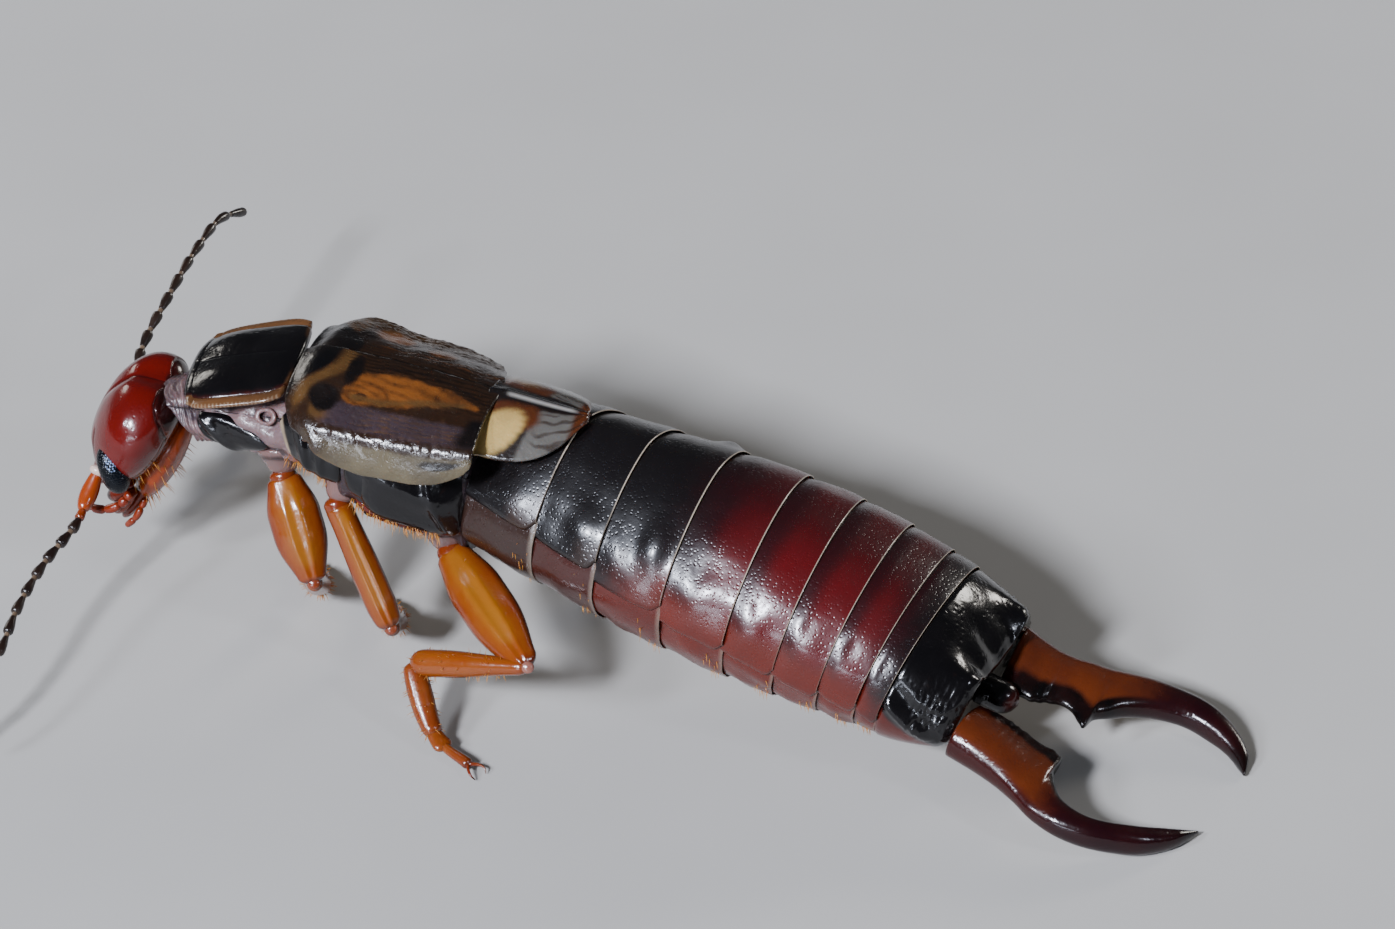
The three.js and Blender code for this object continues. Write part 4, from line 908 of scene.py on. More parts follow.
# Breathing holes: one on each side, a raised ring of the chest skin round a dark slit, before the middle
# plate. A small pale knob of the same skin stands on the front plate.
HOLE_AT = (0.53, 55)        # share of the way along the chest and degrees from its top
HOLE_ROWS, HOLE_COLUMNS = 12, 30
spiracles = []
for side, _ in SIDES:
    phi = once_round(HOLE_COLUMNS)
    ring = once_round(HOLE_ROWS)[:, None]
    wide = 1 + 0.32 * np.cos(ring)
    rings = chest_side(side)(HOLE_AT[0] + 0.016 * wide * np.cos(phi), HOLE_AT[1] + 8 * wide * np.sin(phi),
                             0.04 + 0.03 * np.sin(ring))
    points = rings.reshape(-1, 3)
    last_row = (HOLE_ROWS - 1) * HOLE_COLUMNS
    faces = sheet_faces(HOLE_ROWS, HOLE_COLUMNS, closed=True)
    for k in range(HOLE_COLUMNS):
        after = (k + 1) % HOLE_COLUMNS
        faces.append([last_row + k, last_row + after, after, k])
    spiracles.append((points, outward(points, faces), {"amber": np.full(len(points), 0.25)}))
    spiracles.append(dome(chest_side(side), HOLE_AT, (0.011, 5.5), 30, 0.02, dark=1.0))
    spiracles.append(dome(chest_side(side), (0.425, 97), (0.09, 0.05), 20, 0.1, scale=CHEST_MM))
make("breathing_holes", spiracles, membrane_finish)

# The head hangs down: one hard glossy deep red capsule of two swollen lobes, with a fine seam between that
# forks toward the feelers. Behind a dark groove the cheeks and the throat are orange-brown. Painted shadow
# darkens the front end of the capsule, above the mouth.
HEAD_LENGTH = 2.0
HEAD_HALF_WIDTH = 1.07
GROOVE_LINE = ([0.0, 0.3, 0.35, 0.54, 0.63, 0.72, 0.82, 1.0], [112, 116, 121, 140, 141, 122, 88, 70])


def head_point(x, from_back, height):
    """A place on the head: toward its left, from its back to its mouth, and up to its face."""
    return HEAD.at(x, -np.asarray(from_back, float), height)


def head_surface(lon, share, lift=0.0):
    """Points of the capsule, by the angle from the face toward the left and the way to the back."""
    lon, share, lift = np.broadcast_arrays(lon, share, lift)
    angle = np.radians(lon)
    along = -np.cos(np.pi * share)
    ring = np.sin(np.pi * share)
    out, face = ring * np.sin(angle), ring * np.cos(angle)
    square = 1 + 0.12 * along ** 2
    wide = (1 + 0.06 * along - 0.1 * along ** 2) * square
    on_face = face > 0
    furrow = np.where(on_face, 0.1 * bump(out, 0, 0.16) * smooth(-0.2, 0.9, along), 0)
    seam = np.where(on_face, 0.035 * bump(out, 0, 0.03) * smooth(-0.15, 0.05, along), 0)
    notch = 0.16 * bump(out, 0, 0.3) * smooth(0.6, 1, along)
    grow = 1 + lift
    return head_point(out * HEAD_HALF_WIDTH * wide * grow,
                      HEAD_LENGTH * (0.5 - 0.5 * along * (1 + 0.4 * lift)) + notch,
                      face * np.where(on_face, 0.7, 0.52) * square * grow - furrow - seam)


lon = np.linspace(-180, 180, 216, endpoint=False)
share = np.linspace(0.015, 0.985, 150)[:, None]
line_at = np.interp(share, *GROOVE_LINE)
beyond = np.abs(lon) - line_at
cheek = smooth(-2, 5, beyond)
groove = bump(beyond, 0, 3.2) * smooth(0.08, 0.2, share) * smooth(1.0, 0.92, share)
fork = bump(np.abs(lon), 30 + 120 * (0.46 - share), 3) * smooth(0.3, 0.34, share) * smooth(0.47, 0.44, share)
eye_hollow = bump(np.abs(lon), 78, 28) * bump(share, 0.42, 0.12)
brow = bump(np.abs(lon), 55, 20) * bump(share, 0.62, 0.16)
feeler_pit = bump(np.abs(lon), 35, 9) * bump(share, 0.3, 0.035)
lift = 0.02 * brow - 0.045 * groove - 0.025 * (cheek + fork) - 0.03 * eye_hollow - 0.05 * feeler_pit
capsule = head_surface(lon, share, lift)
capsule = capsule + 0.003 * ripple(capsule, 0.4, 91)[..., None]
# Head cuticle: hard smooth horn, a little translucent. The eye gets deep red lacquer.
head_horn = cuticle(
    "red_head_cuticle", "#500906",
    markings=[("face", "#3c0e07", 0.5), ("cheek", "#66280a", 0.4), ("black", "#080505", 0.35),
              ("line", "#120404", 0.0)],
    cloudy=("#3c0503", 0.5), pits=(0.07, 0.002), wrinkles=(0.25, 0.005), roughness=(0.16, 0.24), coat=0.15,
    glow=0.05, depth=0.22, shine=0.35,
)
head_marks = {
    "cheek": cheek * smooth(0.02, 0.1, share) * smooth(0.72, 0.62, share),
    "line": strongest(0.95 * groove, 0.8 * fork, 0.85 * bump(lon, 0, 2.2) * smooth(0.44, 0.5, share)),
    # the first black term is painted shadow on the front end of the capsule above the mouth; the other two
    # darken the back of the head and the throat by the neck
    "black": strongest(smooth(0.25, 0.16, share) * smooth(125, 100, np.abs(lon)),
                       smooth(0.92, 0.97, share) * smooth(90, 60, np.abs(lon)),
                       0.92 * cheek * smooth(0.64, 0.74, share)),
    "face": smooth(0.42, 0.3, share),
}
make("head_capsule", [tube(capsule, **head_marks)], head_horn, ["head"])

# Compound eyes: a long bean of clear black lenses, low on each side of the head, set into the capsule. On
# their upper part a painted blue-white highlight sits on the middle of each lens.
LENS = 0.034        # across one lens; the real ones are about 0.02 mm, too fine to show
EYE_HALF_LENGTH = 0.39
EYE_HALF_WIDTH = 0.23
# Lens cuticle: clear, domed and polished, over a black ground, with a painted blue-white highlight on the
# upper lenses. The eye gets wet black beads.
lens_finish, tree = new_finish("faceted_eye_cuticle")
place = add(tree, "TexCoord").outputs["Object"]
facet = add(tree, "TexVoronoi", {"Vector": place, "Scale": 1 / (LENS * MM), "Randomness": 0.3})
domed = add(tree, "MapRange", {"Value": facet.outputs["Distance"], "From Max": 0.6, "To Min": 1.0,
                               "To Max": 0.0})
facets = add(tree, "Bump", {"Height": domed.outputs["Result"], "Distance": 0.007 * MM})
cloud = add(tree, "TexNoise", {"Vector": place, "Scale": 1 / (0.35 * MM)})
ground = add(tree, "Mix", {"Factor": cloud.outputs["Fac"], "A": linear("#010203"), "B": linear("#050912")},
             data_type="RGBA")
# painted highlight: pale blue on the middle of each lens, over the eye's upper part
upper = add(tree, "Attribute", attribute_name="sparkle")
painted_glint_share = add(tree, "Math", {0: domed.outputs["Result"], 1: upper.outputs["Fac"]}, operation="MULTIPLY")
painted_glint_level = add(tree, "MapRange", {"Value": painted_glint_share.outputs[0], "From Min": 0.15, "From Max": 0.6, "To Max": 0.85})
colour = add(tree, "Mix", {"Factor": painted_glint_level.outputs["Result"], "A": ground.outputs["Result"],
                           "B": linear("#8fa6cc")}, data_type="RGBA")
shader = add(tree, "BsdfPrincipled", {
    "Base Color": colour.outputs["Result"], "Roughness": 0.1, "IOR": CHITIN_IOR, "Specular IOR Level": 0.22,
    "Normal": facets.outputs["Normal"],
})
add(tree, "OutputMaterial", {"Surface": shader.outputs["BSDF"]})
phi = once_round(48)
polar = np.linspace(0.03, math.pi - 0.03, 32)[:, None]
left, tail, up = HEAD.turn.T
bean = 1 + 0.1 * np.cos(2 * phi)
for side, name in SIDES:
    out_way = unit(left * side + up * 0.42)
    long_way = up * -0.62 + tail * -0.5 + left * side * 0.2
    long_way = unit(long_way - out_way * (long_way @ out_way))
    short_way = np.cross(out_way, long_way)
    long, short, out = np.sin(polar) * np.cos(phi), np.sin(polar) * np.sin(phi), np.cos(polar)
    rings = (head_point(side * 0.87, 1.37, 0.08) + (EYE_HALF_LENGTH * long)[..., None] * long_way
             + (EYE_HALF_WIDTH * short * bean)[..., None] * short_way
             + (EYE_HALF_WIDTH * out)[..., None] * out_way)
    # the part of each eye that gets the painted highlight
    upper = smooth(0.84, 0.97, 0.62 * side * short - 0.38 * long + 0.68 * out)
    make(f"eye_lens_{name}", [tube(rings, sparkle=upper)], lens_finish, [f"eye_{name}"])

# Mouth: a red-brown upper lip, two jaws with black tips, a jointed feeler beside each, and behind them the
# lower lip with its plate along the throat, two blunt lobes and two short feelers. All are hinged to the
# capsule by soft skin, which is hidden.
LINK_WAIST = 0.84         # of the width of a palp's link, at its ends


def limb(line, broad, high=None, facing=(0, 0, 1), rows=40, around=20, ends=(0.08, 0.08), **marks):
    """A long rounded body along a line of points. Its half breadth and half height are numbers or functions
    of the way along, and one stands for both when only one is given."""
    t = 0.5 - 0.5 * np.cos(np.linspace(0, np.pi, rows))
    centre, _ = spline(line, t)
    forward = unit(np.gradient(centre, axis=0))
    across = unit(np.cross(forward, facing))
    up = np.cross(across, forward)
    taper = np.sqrt(np.clip(1 - np.clip(1 - t / ends[0], 0, 1) ** 2, 0.004, 1))
    taper = taper * np.sqrt(np.clip(1 - np.clip(1 - (1 - t) / ends[1], 0, 1) ** 2, 0.004, 1))
    phi = once_round(around)
    high = broad if high is None else high
    wide, tall = ((size(t) if callable(size) else size) * taper for size in (broad, high))
    rings = (centre[:, None] + across[:, None] * (np.sin(phi) * wide[:, None])[..., None]
             + up[:, None] * (np.cos(phi) * tall[:, None])[..., None])
    marks = {key: value(t[:, None], phi) if callable(value) else value for key, value in marks.items()}
    return tube(rings, **marks)


def head_line(side, places):
    return [head_point(side * x, from_back, height) for x, from_back, height in places]


def chain(line, cuts, radius, **marks):
    """Links of a palp along one line, each a little swollen, cut at shares of the line."""
    fine_line, _ = spline(line, np.linspace(0, 1, 81))
    links = []
    for start, stop in zip(cuts, cuts[1:]):
        bit, _ = spline(fine_line, np.linspace(start, min(stop + 0.02, 1), 6))
        size = radius((start + stop) / 2)
        links.append(limb(bit, lambda t: size * (LINK_WAIST + (1 - LINK_WAIST) * np.sin(np.pi * t ** 0.8)),
                          rows=14, around=14, ends=(0.2, 0.2), **marks))
    return links


# Mouth cuticle: hard brown horn, wrinkled. The eye gets toffee, with less gloss than the head.
mouth_horn = cuticle(
    "red_brown_mouth_cuticle", "#5e1a0b",
    markings=[("amber", "#8a3408", 0.4), ("black", "#100605", 0.3)],
    cloudy=("#3c0f06", 0.4), wrinkles=(0.1, 0.009), roughness=(0.2, 0.3), coat=0.1, glow=0.08, shine=0.3,
)
phi = once_round(40)
polar = np.linspace(0.06, math.pi - 0.06, 24)[:, None]
lip = head_point(0.42 * np.sin(polar) * np.cos(phi), 2.02 - 0.36 * np.cos(polar),
                 0.16 + 0.2 * np.sin(polar) * np.sin(phi))
make("upper_lip", [tube(lip, black=0.6 * smooth(2.2, 0.9, polar))], mouth_horn, ["labrum"])
for side, name in SIDES:
    jaw_line = head_line(side, [(0.44, 1.75, -0.16), (0.42, 2.16, -0.16), (0.14, 2.44, -0.12)])
    jaw = limb(jaw_line, lambda t: 0.21 - 0.13 * t, lambda t: 0.17 - 0.09 * t,
               black=lambda t, phi: smooth(0.5, 0.8, t))
    make(f"jaw_{name}", [jaw], mouth_horn, [f"mandible_{name}"])
    palp_line = head_line(side, [(0.62, 1.84, -0.34), (0.72, 2.1, -0.26), (0.7, 2.36, -0.04),
                                 (0.54, 2.52, 0.2)])
    links = chain(palp_line, [0, 0.12, 0.26, 0.54, 0.78, 1], lambda t: 0.078 - 0.012 * t, amber=0.3)
    make(f"jaw_feeler_{name}", links, mouth_horn, [f"palp_{name}"])
throat = head_point(0.54 * np.sin(polar) * np.cos(phi), 1.4 - 0.86 * np.cos(polar),
                    -0.5 + 0.27 * np.sin(polar) * np.sin(phi))
throat = throat + 0.006 * ripple(throat, 0.25, 93)[..., None]
lower_lip = [tube(throat, amber=0.85)]
for side, _ in SIDES:
    lobe = head_line(side, [(0.24, 1.9, -0.46), (0.3, 2.34, -0.46), (0.22, 2.66, -0.44)])
    lower_lip.append(limb(lobe, lambda t: 0.17 - 0.06 * t, lambda t: 0.11 - 0.04 * t, amber=0.3,
                          ends=(0.1, 0.3)))
    outer_lobe = head_line(side, [(0.46, 1.88, -0.34), (0.5, 2.26, -0.32), (0.34, 2.54, -0.22)])
    lower_lip.append(limb(outer_lobe, lambda t: 0.12 - 0.05 * t, 0.09, amber=0.4, ends=(0.1, 0.3)))
    lip_feeler = head_line(side, [(0.36, 2.02, -0.56), (0.5, 2.3, -0.58), (0.44, 2.62, -0.52)])
    lower_lip += chain(lip_feeler, [0, 0.25, 0.6, 1], lambda t: 0.062 - 0.01 * t, amber=0.4)
make("lower_lip", lower_lip, mouth_horn, ["labium"])

# Feelers: a stout glossy orange first link in a pale socket, a short second one, then twelve dark brown
# beads, each narrow at its root and full at its end, with pale skin showing in the joints.
FEELER_LINES = {
    "left": [(1.5, -9.2, 1.72), (2.0, -9.14, 1.62), (2.78, -9.27, 1.45), (3.69, -9.27, 1.28),
             (4.5, -9.16, 1.12), (5.5, -9.15, 0.98), (6.4, -9.35, 0.9)],
    "right": [(-0.6, -9.5, 1.85), (-1.6, -9.82, 2.09), (-2.8, -9.86, 2.41), (-3.9, -9.93, 2.49),
              (-4.7, -9.96, 2.44), (-5.4, -9.88, 2.14)],
}
BEAD_COUNT = 12
BEAD_GAP = 0.035          # of pale skin between two beads
# Feeler root cuticle: thin smooth horn that lets light in. The eye gets clear orange varnish.
scape_horn = cuticle(
    "orange_feeler_cuticle", "#7c300a",
    markings=[("black", "#140a07", 0.3), ("pale", "#cdbfb4", 0.0)],
    cloudy=("#742a0b", 0.4), wrinkles=(0.15, 0.003), roughness=(0.16, 0.26), coat=0.25, glow=0.15, shine=0.4,
)
# Bead cuticle: horn with a very fine down, too fine to show. The eye gets satin dark brown.
bead_horn = cuticle(
    "dark_bead_cuticle", "#140c09", markings=[("pale", "#5d4c3c", 0.2), ("black", "#080505", 0.3)],
    cloudy=("#2b1a11", 0.5), pits=(0.05, 0.002), wrinkles=(0.1, 0.005), roughness=(0.26, 0.38), coat=0.2,
)
for side, name in SIDES:
    line = [head_point(side * 0.56, 1.72, 0.26), *[np.array(place) for place in FEELER_LINES[name]]]
    path_shares = np.linspace(0, 1, 241)
    path, length = spline(line, path_shares)

    def stretch(start, stop, path=path, length=length):
        spots = np.linspace(start / length, stop / length, 7)
        return np.stack([np.interp(spots, path_shares, column) for column in path.T], -1)

    scape = limb(stretch(0.06, 0.76), lambda t: 0.075 + 0.06 * np.sin(np.pi * t ** 1.2), ends=(0.1, 0.12))
    socket = limb(stretch(0.0, 0.16), 0.13, ends=(0.4, 0.5), rows=16, pale=0.85)
    second = limb(stretch(0.74, 0.95), lambda t: 0.06 + 0.02 * t, rows=18, ends=(0.2, 0.25),
                  black=lambda t, phi: 0.6 * smooth(0.3, 1, t))
    make(f"feeler_root_{name}", [scape, socket, second], scape_horn,
         [f"antenna_{name}_scape"])
    growth = np.linspace(0.72, 1.15, BEAD_COUNT)
    joints = 0.93 + (length - 0.95) * np.concatenate([[0], np.cumsum(growth)]) / growth.sum()
    beads = []
    for k in range(BEAD_COUNT):
        full = 0.086 - 0.014 * k / BEAD_COUNT
        beads.append(limb(
            stretch(joints[k], joints[k + 1] - BEAD_GAP), lambda t: full * (0.6 + 0.4 * smooth(0, 0.7, t)),
            rows=18, around=18, ends=(0.12, 0.16), pale=lambda t, phi: 0.4 * smooth(0.1, 0.0, t),
        ))
        beads.append(limb(stretch(joints[k] - 0.06, joints[k] + 0.05), full * 0.55, rows=8, around=12,
                          pale=1.0))
    make(f"feeler_beads_{name}", beads[:BEAD_COUNT], bead_horn, [f"antenna_{name}_mid"])
    make(f"feeler_end_beads_{name}", beads[BEAD_COUNT:], bead_horn, [f"antenna_{name}_tip"])

# Legs: glossy orange cuticle, a little translucent. Each has a pale swollen hip, a small orange ring, a flat
# spindle of a thigh with a long ridge, a shin, and a foot of three links with two hooked claws.
LEGS = {
    # hip, ring, knee, ankle, toe, tip of the foot, half breadth and half thickness of the thigh
    "front_left": [(0.8, -6.25, 3.0), (1.02, -6.17, 2.6), (1.68, -5.45, 1.27), (0.62, -5.95, 0.34),
                   (0.2, -6.2, 0.17), (-0.15, -6.55, 0.12), 0.39, 0.28],
    "mid_left": [(0.9, -5.1, 2.95), (1.25, -5.2, 2.5), (1.9, -4.13, 0.95), (0.95, -4.56, 0.3),
                 (0.6, -4.85, 0.17), (0.25, -5.2, 0.12), 0.26, 0.25],
    "hind_left": [(0.7, -3.75, 2.2), (0.98, -3.56, 1.86), (2.65, -1.6, 1.49), (2.48, -3.55, 0.92),
                  (3.14, -2.9, 0.22), (3.45, -2.24, 0.12), 0.4, 0.26],
    "front_right": [(-0.2, -6.4, 3.0), (-0.4, -6.6, 2.6), (-1.55, -7.1, 2.45), (-2.2, -8.0, 0.95),
                    (-2.4, -8.35, 0.22), (-2.6, -8.85, 0.12), 0.4, 0.28],
    "mid_right": [(-0.35, -5.2, 2.75), (-0.6, -5.3, 2.3), (-2.3, -5.2, 2.1), (-3.15, -5.4, 0.8),
                  (-3.5, -5.45, 0.2), (-4.15, -5.6, 0.12), 0.26, 0.25],
    "hind_right": [(-0.35, -3.8, 2.2), (-0.6, -3.65, 1.8), (-2.3, -2.0, 1.85), (-3.0, -0.5, 0.75),
                   (-3.2, 0.0, 0.2), (-3.5, 0.65, 0.12), 0.4, 0.26],
}
THIGH_ROWS, THIGH_COLUMNS = 60, 80
SHIN_ROWS, SHIN_COLUMNS = 44, 28
FOOT_ROWS, FOOT_COLUMNS = 26, 20
CLAW_RADIUS = 0.034
# Leg cuticle: thin smooth horn that lets light in. The eye gets amber varnish; on the thighs painted light
# in gold on the face toward the camera and lamps and painted shade in rust on the sides, and on the shins
# painted shade in black on the side away from them.
leg_horn = cuticle(
    "orange_leg_cuticle", "#6c3006",
    markings=[("gold", "#79480f", 0.4), ("rust", "#5c1e07", 0.5), ("black", "#1e0a05", 0.3),
              ("pale", "#7f584e", 0.3)],
    cloudy=("#744010", 0.4), pits=(0.1, 0.0015), wrinkles=(0.12, 0.005), roughness=(0.18, 0.28), coat=0.3,
    glow=0.15, depth=0.3, shine=0.4,
)
# Hip cuticle: thick soft skin over the joint's ball. The eye gets wet greyish pink with a dark band.
hip_finish = cuticle(
    "pale_hip_cuticle", "#5b4440", markings=[("amber", "#7c380e", 0.5), ("dark", "#24120f", 0.4)],
    cloudy=("#6c4740", 0.5), wrinkles=(0.12, 0.014), roughness=(0.2, 0.3), coat=0.35, glow=0.2, shine=0.45,
)


def off_ridge(phi):
    """The angle from the ridge on a thigh's outer side."""
    return np.minimum(phi, 2 * np.pi - phi)


def grid_in(part, rows, columns):
    """The skin of a limb as a grid of points."""
    return part[0][:rows * columns].reshape(rows, columns, 3)


shins = []
feet = []
for name, (*places, broad, thin) in LEGS.items():
    hip, ring_at, knee, ankle, toe, tip = (np.array(place) for place in places)
    out_way = np.array([0.73 if name.endswith("left") else -0.73, 0.33, 0.6])
    out_unit = unit(out_way)
    coxa = limb([hip, (hip + ring_at) / 2, ring_at], lambda t: 0.37 - 0.16 * smooth(0.2, 0.9, t),
                rows=30, around=36, ends=(0.2, 0.25), dark=lambda t, phi: 0.9 * bump(t, 0.42, 0.09),
                amber=lambda t, phi: 0.8 * smooth(0.85, 1, t))
    make(f"hip_{name}", [coxa], hip_finish, [f"coxa_{name}"])

    def spindle(t):
        if name.startswith("mid"):
            return 0.78 + 0.1 * smooth(0.1, 0.6, t) - 0.2 * smooth(0.8, 1.02, t)
        return 0.6 + 0.4 * smooth(-0.05, 0.36, t) - 0.5 * smooth(0.5, 1.02, t) ** 1.4

    thigh = limb(
        [ring_at, ring_at * 0.5 + knee * 0.5, knee],
        lambda t: broad * spindle(t), lambda t: thin * spindle(t),
        out_way, rows=THIGH_ROWS, around=THIGH_COLUMNS, ends=(0.05, 0.07),
        # painted shade: rust on the thigh's sides; the rust at the knee is its own colour
        rust=lambda t, phi: strongest(0.8 * smooth(0.5, 1, np.abs(np.sin(phi))), 0.9 * smooth(0.9, 1, t)),
        black=lambda t, phi: 0.5 * smooth(0.93, 1, t),
        # painted light: gold on the thigh's face toward the camera and lamps
        gold=lambda t, phi: bump(off_ridge(phi), 0, 0.5) * smooth(0, 0.12, t) * smooth(0.92, 0.75, t),
    )
    skin = grid_in(thigh, THIGH_ROWS, THIGH_COLUMNS)
    middle = skin.mean(1, keepdims=True)
    off = off_ridge(once_round(THIGH_COLUMNS))
    keel = 0.06 * bump(off, 0.28, 0.11) - 0.06 * bump(off, 0, 0.15) - 0.04 * bump(off, 0.72, 0.25)
    fade = smooth(0.05, 0.4, 0.5 - 0.5 * np.cos(np.linspace(0, np.pi, THIGH_ROWS)))[:, None]
    skin[:] = middle + (skin - middle) * (1 + keel * fade)[..., None]
    ring_link = limb([ring_at + (ring_at - knee) * 0.06, ring_at, ring_at + (knee - ring_at) * 0.1],
                     0.2, 0.185, out_way, rows=18, around=28, ends=(0.4, 0.4), rust=0.8)
    disc_line = [knee - out_unit * 0.02, knee + out_unit * (thin * 0.34), knee + out_unit * (thin * 0.44)]
    knee_disc = limb(disc_line, 0.09, facing=(0.1, 0.9, 0.2), rows=12, ends=(0.1, 0.3), rust=1.0,
                     pale=0.6 if name.startswith("hind") else 0.2)
    make(f"thigh_{name}", [thigh, ring_link, knee_disc], leg_horn, [f"femur_{name}"])
    shin = limb([knee, knee * 0.5 + ankle * 0.5 + out_unit * 0.02, ankle],
                lambda t: 0.12 + 0.08 * smooth(0, 0.7, t) - 0.02 * smooth(0.85, 1, t),
                lambda t: 0.12 + 0.045 * smooth(0, 0.45, t), out_way,
                rows=SHIN_ROWS, around=SHIN_COLUMNS, ends=(0.08, 0.1),
                rust=lambda t, phi: 0.6 * smooth(0.8, 1, t) + 0.5 * smooth(0.15, 0, t),
                # painted shade: black on the shin's side away from the camera and lamps
                black=lambda t, phi: 0.5 * smooth(-0.4, -0.9, np.cos(phi)))
    make(f"shin_{name}", [shin], leg_horn, [f"tibia_{name}"])
    shins.append(grid_in(shin, SHIN_ROWS, SHIN_COLUMNS))
    foot_line, _ = spline([ankle, toe, tip], np.linspace(0, 1, 41))
    first = limb(foot_line[:25:4], lambda t: 0.135 + 0.05 * np.sin(np.pi * t ** 0.8),
                 lambda t: 0.115 + 0.035 * np.sin(np.pi * t ** 0.8), rows=FOOT_ROWS, around=FOOT_COLUMNS,
                 rust=0.7, pale=lambda t, phi: 0.6 * bump(phi, 4.7, 0.5))
    lobe = limb(foot_line[22:31:2], lambda t: 0.11 + 0.06 * t, 0.08, rows=16, ends=(0.2, 0.3), rust=0.5)
    last = limb(foot_line[28::3], lambda t: 0.07 + 0.02 * t, lambda t: 0.065 + 0.02 * t, rows=18, around=16,
                rust=lambda t, phi: 0.3 + 0.7 * t, black=lambda t, phi: 0.5 * smooth(0.7, 1, t))
    forward = unit((foot_line[-1] - foot_line[-6]) * (1, 1, 0))
    sideways = np.cross(forward, (0, 0, 1))
    claws = []
    for hand in (1, -1):
        claw_line = [tip + forward * ahead + sideways * hand * aside - (0, 0, down)
                     for ahead, aside, down in ((-0.03, 0, 0), (0.07, 0.09, 0), (0.17, 0.13, 0.03),
                                                (0.23, 0.1, 0.09))]
        claws.append(limb(claw_line, lambda t: CLAW_RADIUS * (1 - 0.75 * t), rows=14, around=10, rust=1.0,
                          black=lambda t, phi: smooth(0.5, 1, t)))
    make(f"foot_{name}", [first, lobe, last, *claws], leg_horn, [f"tarsus_{name}"])
    feet.append(grid_in(first, FOOT_ROWS, FOOT_COLUMNS))

# Bristles: stiff golden hairs of clear cuticle, 0.1 to 0.3 mm long, that stand on the shins and feet, the
# cheeks and the throat, the chest skin by the hips, and the edges of the belly plates. Each grows from a
# pore in the cuticle. They are drawn 0.014 mm thick, a little more than in life, so that they show.
BRISTLE_RADIUS = 0.0068
BRISTLE_STRAY = 0.22      # how far bristles turn from their common way
ROOT_DEPTH = 0.015
NEAR_FLOOR = 0.12         # bristles rooted lower than this point up
UV_PATCH = 0.003
# Bristle cuticle: clear horn that lets light through. The eye gets gold threads with a soft gloss.
bristle_horn, tree = new_finish("golden_bristle_cuticle")
place = add(tree, "TexCoord").outputs["Object"]
drift = add(tree, "TexNoise", {"Vector": place, "Scale": 1 / (0.4 * MM)})
gold = add(tree, "Mix", {"Factor": drift.outputs["Fac"], "A": linear("#7a4310"), "B": linear("#b97a2c")},
           data_type="RGBA")
shader = add(tree, "BsdfPrincipled", {
    "Base Color": gold.outputs["Result"], "Roughness": 0.35, "IOR": CHITIN_IOR, "Subsurface Weight": 0.2,
    "Subsurface Scale": 0.05 * MM,
})
add(tree, "OutputMaterial", {"Surface": shader.outputs["BSDF"]})


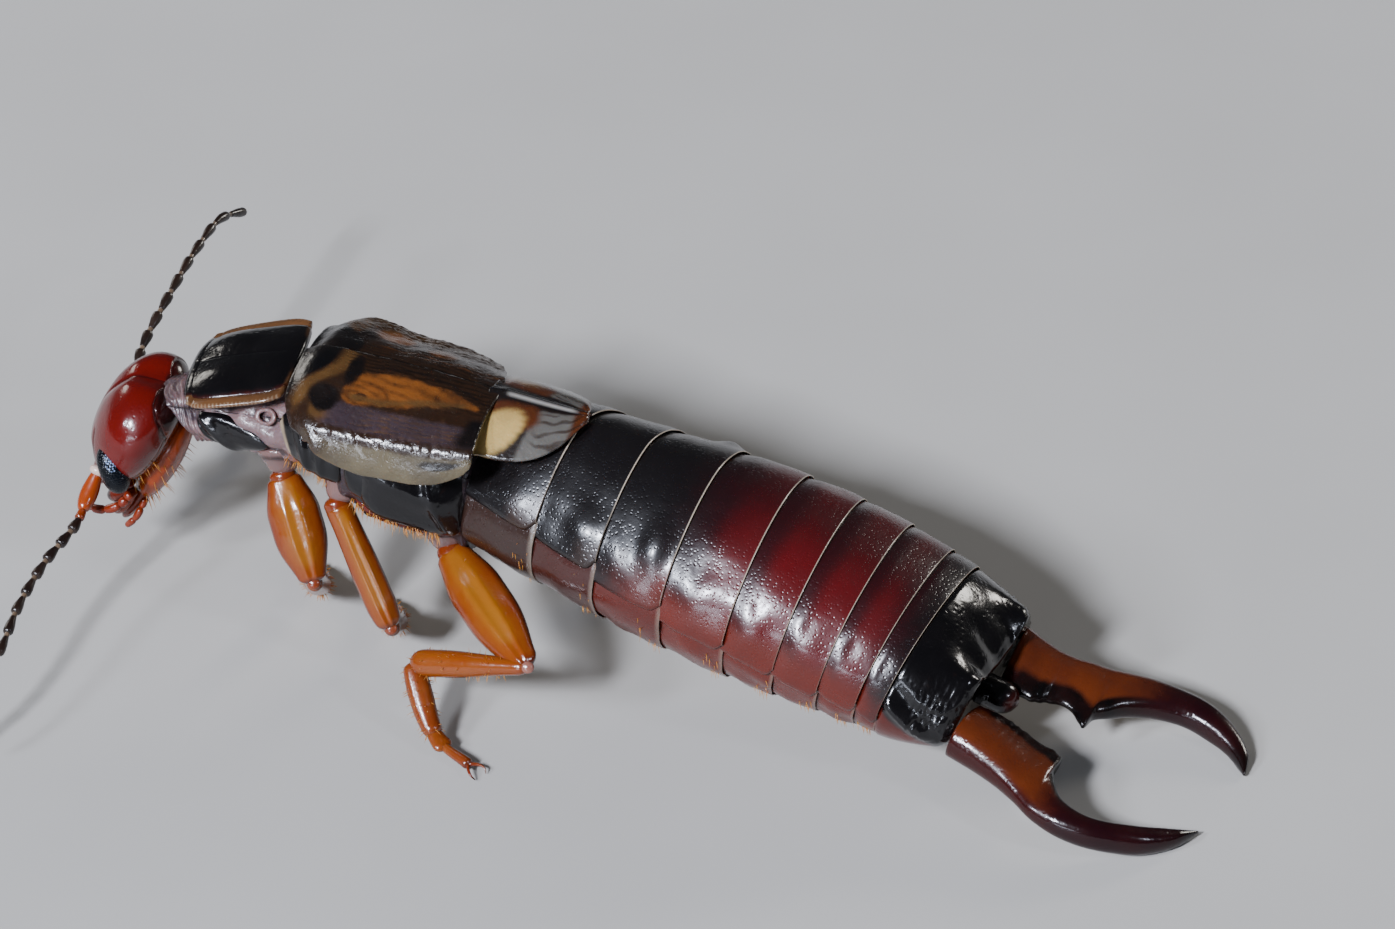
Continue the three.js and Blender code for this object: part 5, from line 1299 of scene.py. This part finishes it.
def bristles(name, beds, seed):
    """One coat of bristles. A bed is (skin grid, count, length, lean toward, rows used, columns used);
    each bed has its own tile of the unwrap, and each bristle a small patch at its root."""
    draw = np.random.default_rng(seed)
    tiles = math.ceil(math.sqrt(len(beds)))
    points, faces, uvs = [], [], []
    for number, (bed, count, length, lean, row_span, column_span) in enumerate(beds):
        normal = sheet_normal(bed)
        middle = bed.reshape(-1, 3).mean(0)
        if ((bed - middle) * normal).sum() < 0:
            normal = -normal
        for _ in range(count):
            row = draw.uniform(*row_span)
            column = draw.uniform(*column_span)
            r = min(int(row * (bed.shape[0] - 1)), bed.shape[0] - 2)
            c = min(int(column * (bed.shape[1] - 1)), bed.shape[1] - 2)
            fr, fc = row * (bed.shape[0] - 1) - r, column * (bed.shape[1] - 1) - c
            corners = [((1 - fr) * (1 - fc), r, c), (fr * (1 - fc), r + 1, c),
                       ((1 - fr) * fc, r, c + 1), (fr * fc, r + 1, c + 1)]
            root, out = (sum(weight * grid[i, j] for weight, i, j in corners) for grid in (bed, normal))
            way = unit(out + np.array(lean) + draw.normal(size=3) * BRISTLE_STRAY)
            if root[2] < NEAR_FLOOR:
                way[2] = abs(way[2])
            side = unit(np.cross(way, (0.31, 0.22, 0.93)))
            other = np.cross(way, side)
            reach = length * draw.uniform(0.55, 1.25)
            sag = np.array([0, 0, -0.18 * reach]) + np.array(lean) * 0.12 * reach
            base = len(points)
            for level, thick in ((0.0, 1.0), (0.45, 0.8), (0.8, 0.45)):
                centre = root - out * ROOT_DEPTH + way * reach * level + sag * level ** 2
                for k in range(3):
                    turn = 2 * math.pi * k / 3
                    rim = side * math.cos(turn) + other * math.sin(turn)
                    points.append(centre + rim * BRISTLE_RADIUS * thick)
            points.append(root + way * reach + sag)
            u = (number % tiles + 0.02 + 0.94 * column) / tiles
            v = (number // tiles + 0.02 + 0.94 * row) / tiles
            spots = [(u + UV_PATCH * k / 3, v + UV_PATCH * level / 3) for level in range(3) for k in range(3)]
            spots.append((u + UV_PATCH / 2, v + UV_PATCH))
            for level in range(2):
                for k in range(3):
                    a, b = level * 3 + k, level * 3 + (k + 1) % 3
                    faces.append([base + a, base + b, base + b + 3, base + a + 3])
                    uvs += [spots[a], spots[b], spots[b + 3], spots[a + 3]]
            for k in range(3):
                a, b = 6 + k, 6 + (k + 1) % 3
                faces.append([base + a, base + b, base + 9])
                uvs += [spots[a], spots[b], spots[9]]
            faces.append([base + 2, base + 1, base])
            uvs += [spots[2], spots[1], spots[0]]
    coat = make(name, [(np.array(points), faces, {})], bristle_horn)
    layer = coat.data.uv_layers.new(name="OFBake")
    layer.data.foreach_set("uv", np.array(uvs, np.float32).ravel())
    return coat


def bed_of(surface, first, second, lift):
    return surface(np.linspace(*first, 40)[:, None], np.linspace(*second, 40), lift)


ALL = (0, 1)
leg_beds = [(bed, 110, 0.09, (0, 0, 0.1), (0.6 if k < 2 else 0.25, 0.97), ALL) for k, bed in enumerate(shins)]
leg_beds += [(bed, 90, 0.09, (0, 0, -0.2), (0.15, 0.95), ALL) for bed in feet]
head_beds = []
skin_beds = []
plate_beds = []
for side, _ in SIDES:
    cheek_bed = bed_of(head_surface, (side * 128, side * 172), (0.16, 0.5), -0.02)
    head_beds.append((cheek_bed, 40, 0.17, (0, 0, -0.4), ALL, ALL))
    skin_bed = bed_of(chest_point, (0.56, 0.68), (side * 92, side * 150), -0.01)
    skin_beds.append((skin_bed, 80, 0.12, (0.1 * side, 0, -0.3), ALL, ALL))
    plate_bed = bed_of(chest_point, (0.74, 0.95), (side * 98, side * 114), 0.02)
    plate_beds.append((plate_bed, 120, 0.14, (0, 0.3, -0.6), ALL, ALL))
head_beds.append((throat, 70, 0.17, (0, 0.15, -0.5), (0.4, 0.95), (0.5, 1)))
belly_beds = []
for i in range(8):
    for side, _ in SIDES:
        spots = ring_ends[i] - np.linspace(0.3, 0.05, 6)
        turns = np.radians(np.linspace(PLATE_CORNERS[i] + 4, 150, 12)) * side
        belly_bed = np.stack([abdomen_point(distance, turns, -0.03) for distance in spots])
        belly_beds.append((belly_bed, 12, 0.1, (0, 0.5, -0.2), ALL, ALL))
bristles("leg_bristles", leg_beds, 5)
bristles("head_bristles", head_beds, 6)
bristles("chest_bristles", skin_beds + plate_beds, 7)
bristles("belly_bristles", belly_beds, 8)
